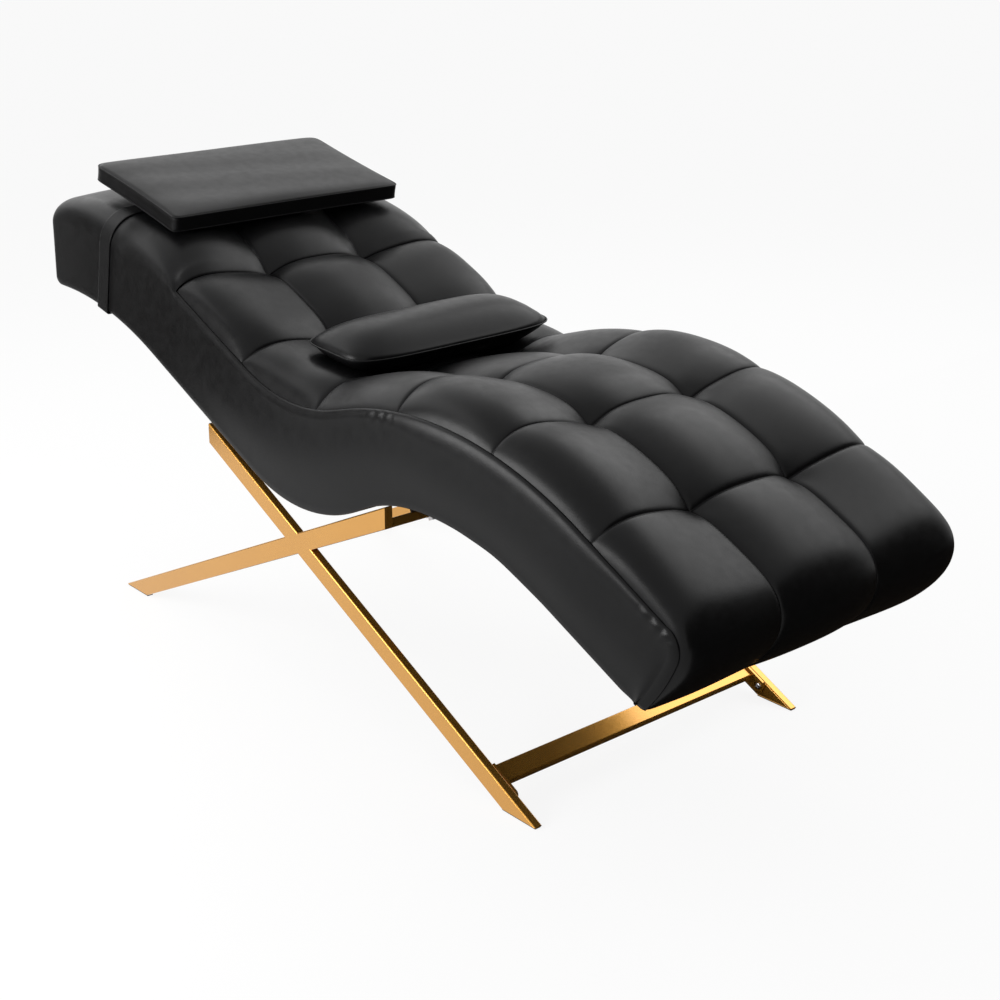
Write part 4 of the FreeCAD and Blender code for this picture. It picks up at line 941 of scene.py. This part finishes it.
def screwTree(source):
    # places one screw on every point, along the point's axis
    tree = bpy.data.node_groups.new("screwPlacing", "GeometryNodeTree")
    tree.interface.new_socket("Geometry", in_out="INPUT", socket_type="NodeSocketGeometry")
    turnSocket = tree.interface.new_socket("Turn", in_out="INPUT", socket_type="NodeSocketFloat")
    tree.interface.new_socket("Geometry", in_out="OUTPUT", socket_type="NodeSocketGeometry")
    nodes = tree.nodes
    start, end = nodes.new("NodeGroupInput"), nodes.new("NodeGroupOutput")
    info = addNode(nodes, "GeometryNodeObjectInfo", {"Object": source})
    axis = addNode(nodes, "GeometryNodeInputNamedAttribute", {"Name": "axis"}, data_type="FLOAT_VECTOR")
    align = addNode(nodes, "FunctionNodeAlignRotationToVector", axis="Z")
    turn = addNode(nodes, "FunctionNodeRotateRotation", rotation_space="LOCAL")
    angle = nodes.new("ShaderNodeCombineXYZ")
    place = nodes.new("GeometryNodeInstanceOnPoints")
    real = nodes.new("GeometryNodeRealizeInstances")
    paint = addNode(nodes, "GeometryNodeSetMaterial", {"Material": zincSteel})
    joinAll((start, "Geometry", place, "Points"), (info, "Geometry", place, "Instance"),
            (axis, "Attribute", align, "Vector"), (start, "Turn", angle, "Z"), (align, "Rotation", turn, "Rotation"),
            (angle, "Vector", turn, "Rotate By"), (turn, "Rotation", place, "Rotation"),
            (place, "Instances", real, "Geometry"), (real, "Geometry", paint, "Geometry"),
            (paint, "Geometry", end, "Geometry"))
    return tree, turnSocket.identifier


def placeScrews():
    s = screwShape
    x, z = s["at"]
    source = linkObject("screwSource", screwMesh())
    points = plainMesh("screwPoints", [(x, -s["plateFace"], z), (x, s["plateFace"], z)])
    axis = points.attributes.new("axis", "FLOAT_VECTOR", "POINT")
    axis.data.foreach_set("vector", [0, 1, 0, 0, -1, 0])
    holder = linkObject("screwHolder", points)
    tree, turnName = screwTree(source)
    modifier = holder.modifiers.new("screws", "NODES")
    modifier.node_group = tree
    modifier[turnName] = s["turn"]
    mesh = bakedMesh(holder, source)
    mend(mesh)
    return linkObject("stretcherScrews", mesh)


stretcherScrews = placeScrews()
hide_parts("stretcher_bolts")
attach(stretcherScrews, "chair")
print("screws:", len(stretcherScrews.data.polygons), "faces")


# camera, at the photograph's place
cameraPlace = {"at": (2.2685, -1.872, 1.393), "azimuth": 48.98, "pitch": 20.13, "roll": -0.426,
               "focal": 1660.43, "centre": (489.4, 497.3), "image": 1000.0, "sensor": 36.0, "clip": (0.05, 60.0)}


def placeCamera():
    c = cameraPlace
    yaw, pitch, roll = [radians(c[k]) for k in ("azimuth", "pitch", "roll")]
    forward = Vector((-sin(yaw) * cos(pitch), cos(yaw) * cos(pitch), -sin(pitch)))
    level = Vector((cos(yaw), sin(yaw), 0))
    plumb = forward.cross(level)
    right = level * cos(roll) + plumb * sin(roll)
    down = plumb * cos(roll) - level * sin(roll)
    data = bpy.data.cameras.new("photoCamera")
    data.sensor_width = c["sensor"]
    data.lens = c["sensor"] * c["focal"] / c["image"]
    data.shift_x = (c["image"] / 2 - c["centre"][0]) / c["image"]
    data.shift_y = (c["centre"][1] - c["image"] / 2) / c["image"]
    data.clip_start, data.clip_end = c["clip"]
    scene.camera = linkObject("photoCamera", data)
    rows = [(right[k], -down[k], -forward[k], c["at"][k]) for k in range(3)]
    scene.camera.matrix_world = Matrix(rows + [(0, 0, 0, 1)])


placeCamera()


# studio: pale floor, white surround, soft lamps, and dark flags that only reflections meet
studio = {
    "floorSize": 40.0, "floorColour": (0.86, 0.86, 0.86), "floorRoughness": 0.9, "floorGlow": 0.88,
    "worldLight": 0.75,
    "lamps": (("backSoftbox", (0.10, 2.6, 2.8), (0.2, 0.0, 0.5), 3.3, 1.9, 40.0),
              ("headSoftbox", (-2.5, 0.8, 2.5), (-0.3, 0.0, 0.6), 2.8, 1.4, 9.5),
              ("sideSoftbox", (-0.75, -1.95, 0.95), (0.4, -0.3, 0.5), 1.7, 0.8, 44.0),
              ("cornerSoftbox", (-2.0, -1.6, 2.5), (-0.1, -0.3, 0.6), 2.0, 1.2, 10.0),
              ("endSoftbox", (-2.7, -0.15, 1.75), (0.16, -0.2, 0.6), 1.4, 0.7, 4.0)),
    "flagColour": (0.026, 0.020, 0.015),
    # upright flags: the two ends on the floor plan, then the lower and upper edge
    "uprights": (("flagHead", (-2.1, -4.5), (-1.4, -0.52), 0.0, 1.1),
                 ("flagFoot", (4.5, -2), (2.2, 4.5), 0.0, 4.0),
                 ("flagBack", (-1.1, -0.9), (-0.40, -0.9), 0.55, 1.3)),
    # flags on the floor: two opposite corners
    "flats": (("flagFloor", (-0.6, 0.30), (3.5, 3.5)),
              ("flagFront", (0.54, -0.31), (3.5, 0.30)),
              ("flagUnder", (-0.45, -0.29), (0.54, 0.30))),
    "flatHeight": 0.004,
}


def addPlane(name, corners, material):
    mesh = plainMesh(name, corners, [(0, 1, 2, 3)])
    mesh.materials.append(material)
    return linkObject(name, mesh)


def backdropShader(nodes, plain, shown):
    # what the camera, reflections and see-through rays meet is white, other rays get the plain light
    path = nodes.new("ShaderNodeLightPath")
    either = addNode(nodes, "ShaderNodeMath", operation="MAXIMUM")
    allThree = addNode(nodes, "ShaderNodeMath", operation="MAXIMUM")
    mix = nodes.new("ShaderNodeMixShader")
    joinAll((path, "Is Camera Ray", either, 0), (path, "Is Glossy Ray", either, 1), (either, 0, allThree, 0),
            (path, "Is Transmission Ray", allThree, 1), (allThree, 0, mix, 0), (plain, 0, mix, 1), (shown, 0, mix, 2))
    return mix


def studioWorld():
    world = bpy.data.worlds.new("studioWorld")
    world.use_nodes = True
    nodes = world.node_tree.nodes
    nodes.clear()
    plain = addNode(nodes, "ShaderNodeBackground", {"Strength": studio["worldLight"]})
    shown = addNode(nodes, "ShaderNodeBackground", {"Color": (1, 1, 1, 1), "Strength": 1.0})
    joinAll((backdropShader(nodes, plain, shown), 0, nodes.new("ShaderNodeOutputWorld"), "Surface"))
    scene.world = world


def floorMaterial():
    material, nodes, shader = newMaterial("paleFloor")
    setInputs(shader, {"Base Color": (*studio["floorColour"], 1), "Roughness": studio["floorRoughness"]})
    glow = addNode(nodes, "ShaderNodeEmission", {"Strength": 1.0})
    soft = addNode(nodes, "ShaderNodeMixShader", {0: studio["floorGlow"]})
    joinAll((shader, 0, soft, 1), (glow, 0, soft, 2),
            (backdropShader(nodes, shader, soft), 0, nodes["Material Output"], "Surface"))
    return material


def flagCorners():
    for name, (x0, y0), (x1, y1), low, high in studio["uprights"]:
        yield name, [(x0, y0, low), (x0, y0, high), (x1, y1, high), (x1, y1, low)]
    z = studio["flatHeight"]
    for name, (x0, y0), (x1, y1) in studio["flats"]:
        yield name, [(x0, y0, z), (x1, y0, z), (x1, y1, z), (x0, y1, z)]


studioWorld()
reach = studio["floorSize"] / 2
floor = addPlane("paleFloor", [(-reach, -reach, 0), (reach, -reach, 0), (reach, reach, 0), (-reach, reach, 0)],
                 floorMaterial())
for name, at, aim, wide, deep, power in studio["lamps"]:
    lamp = bpy.data.lights.new(name, "AREA")
    lamp.shape = "RECTANGLE"
    lamp.size, lamp.size_y, lamp.energy = wide, deep, power
    holder = linkObject(name, lamp)
    holder.location = at
    holder.rotation_euler = (Vector(aim) - Vector(at)).to_track_quat("-Z", "Y").to_euler()
darkFlag, _, flagShader = newMaterial("darkFlag")
setInputs(flagShader, {"Base Color": (*studio["flagColour"], 1), "Roughness": 1.0, "Specular IOR Level": 0.0})
for name, corners in flagCorners():
    flag = addPlane(name, corners, darkFlag)
    flag.visible_camera = flag.visible_diffuse = flag.visible_shadow = flag.visible_transmission = False
scene.view_settings.view_transform = "Standard"
print("studio ready")
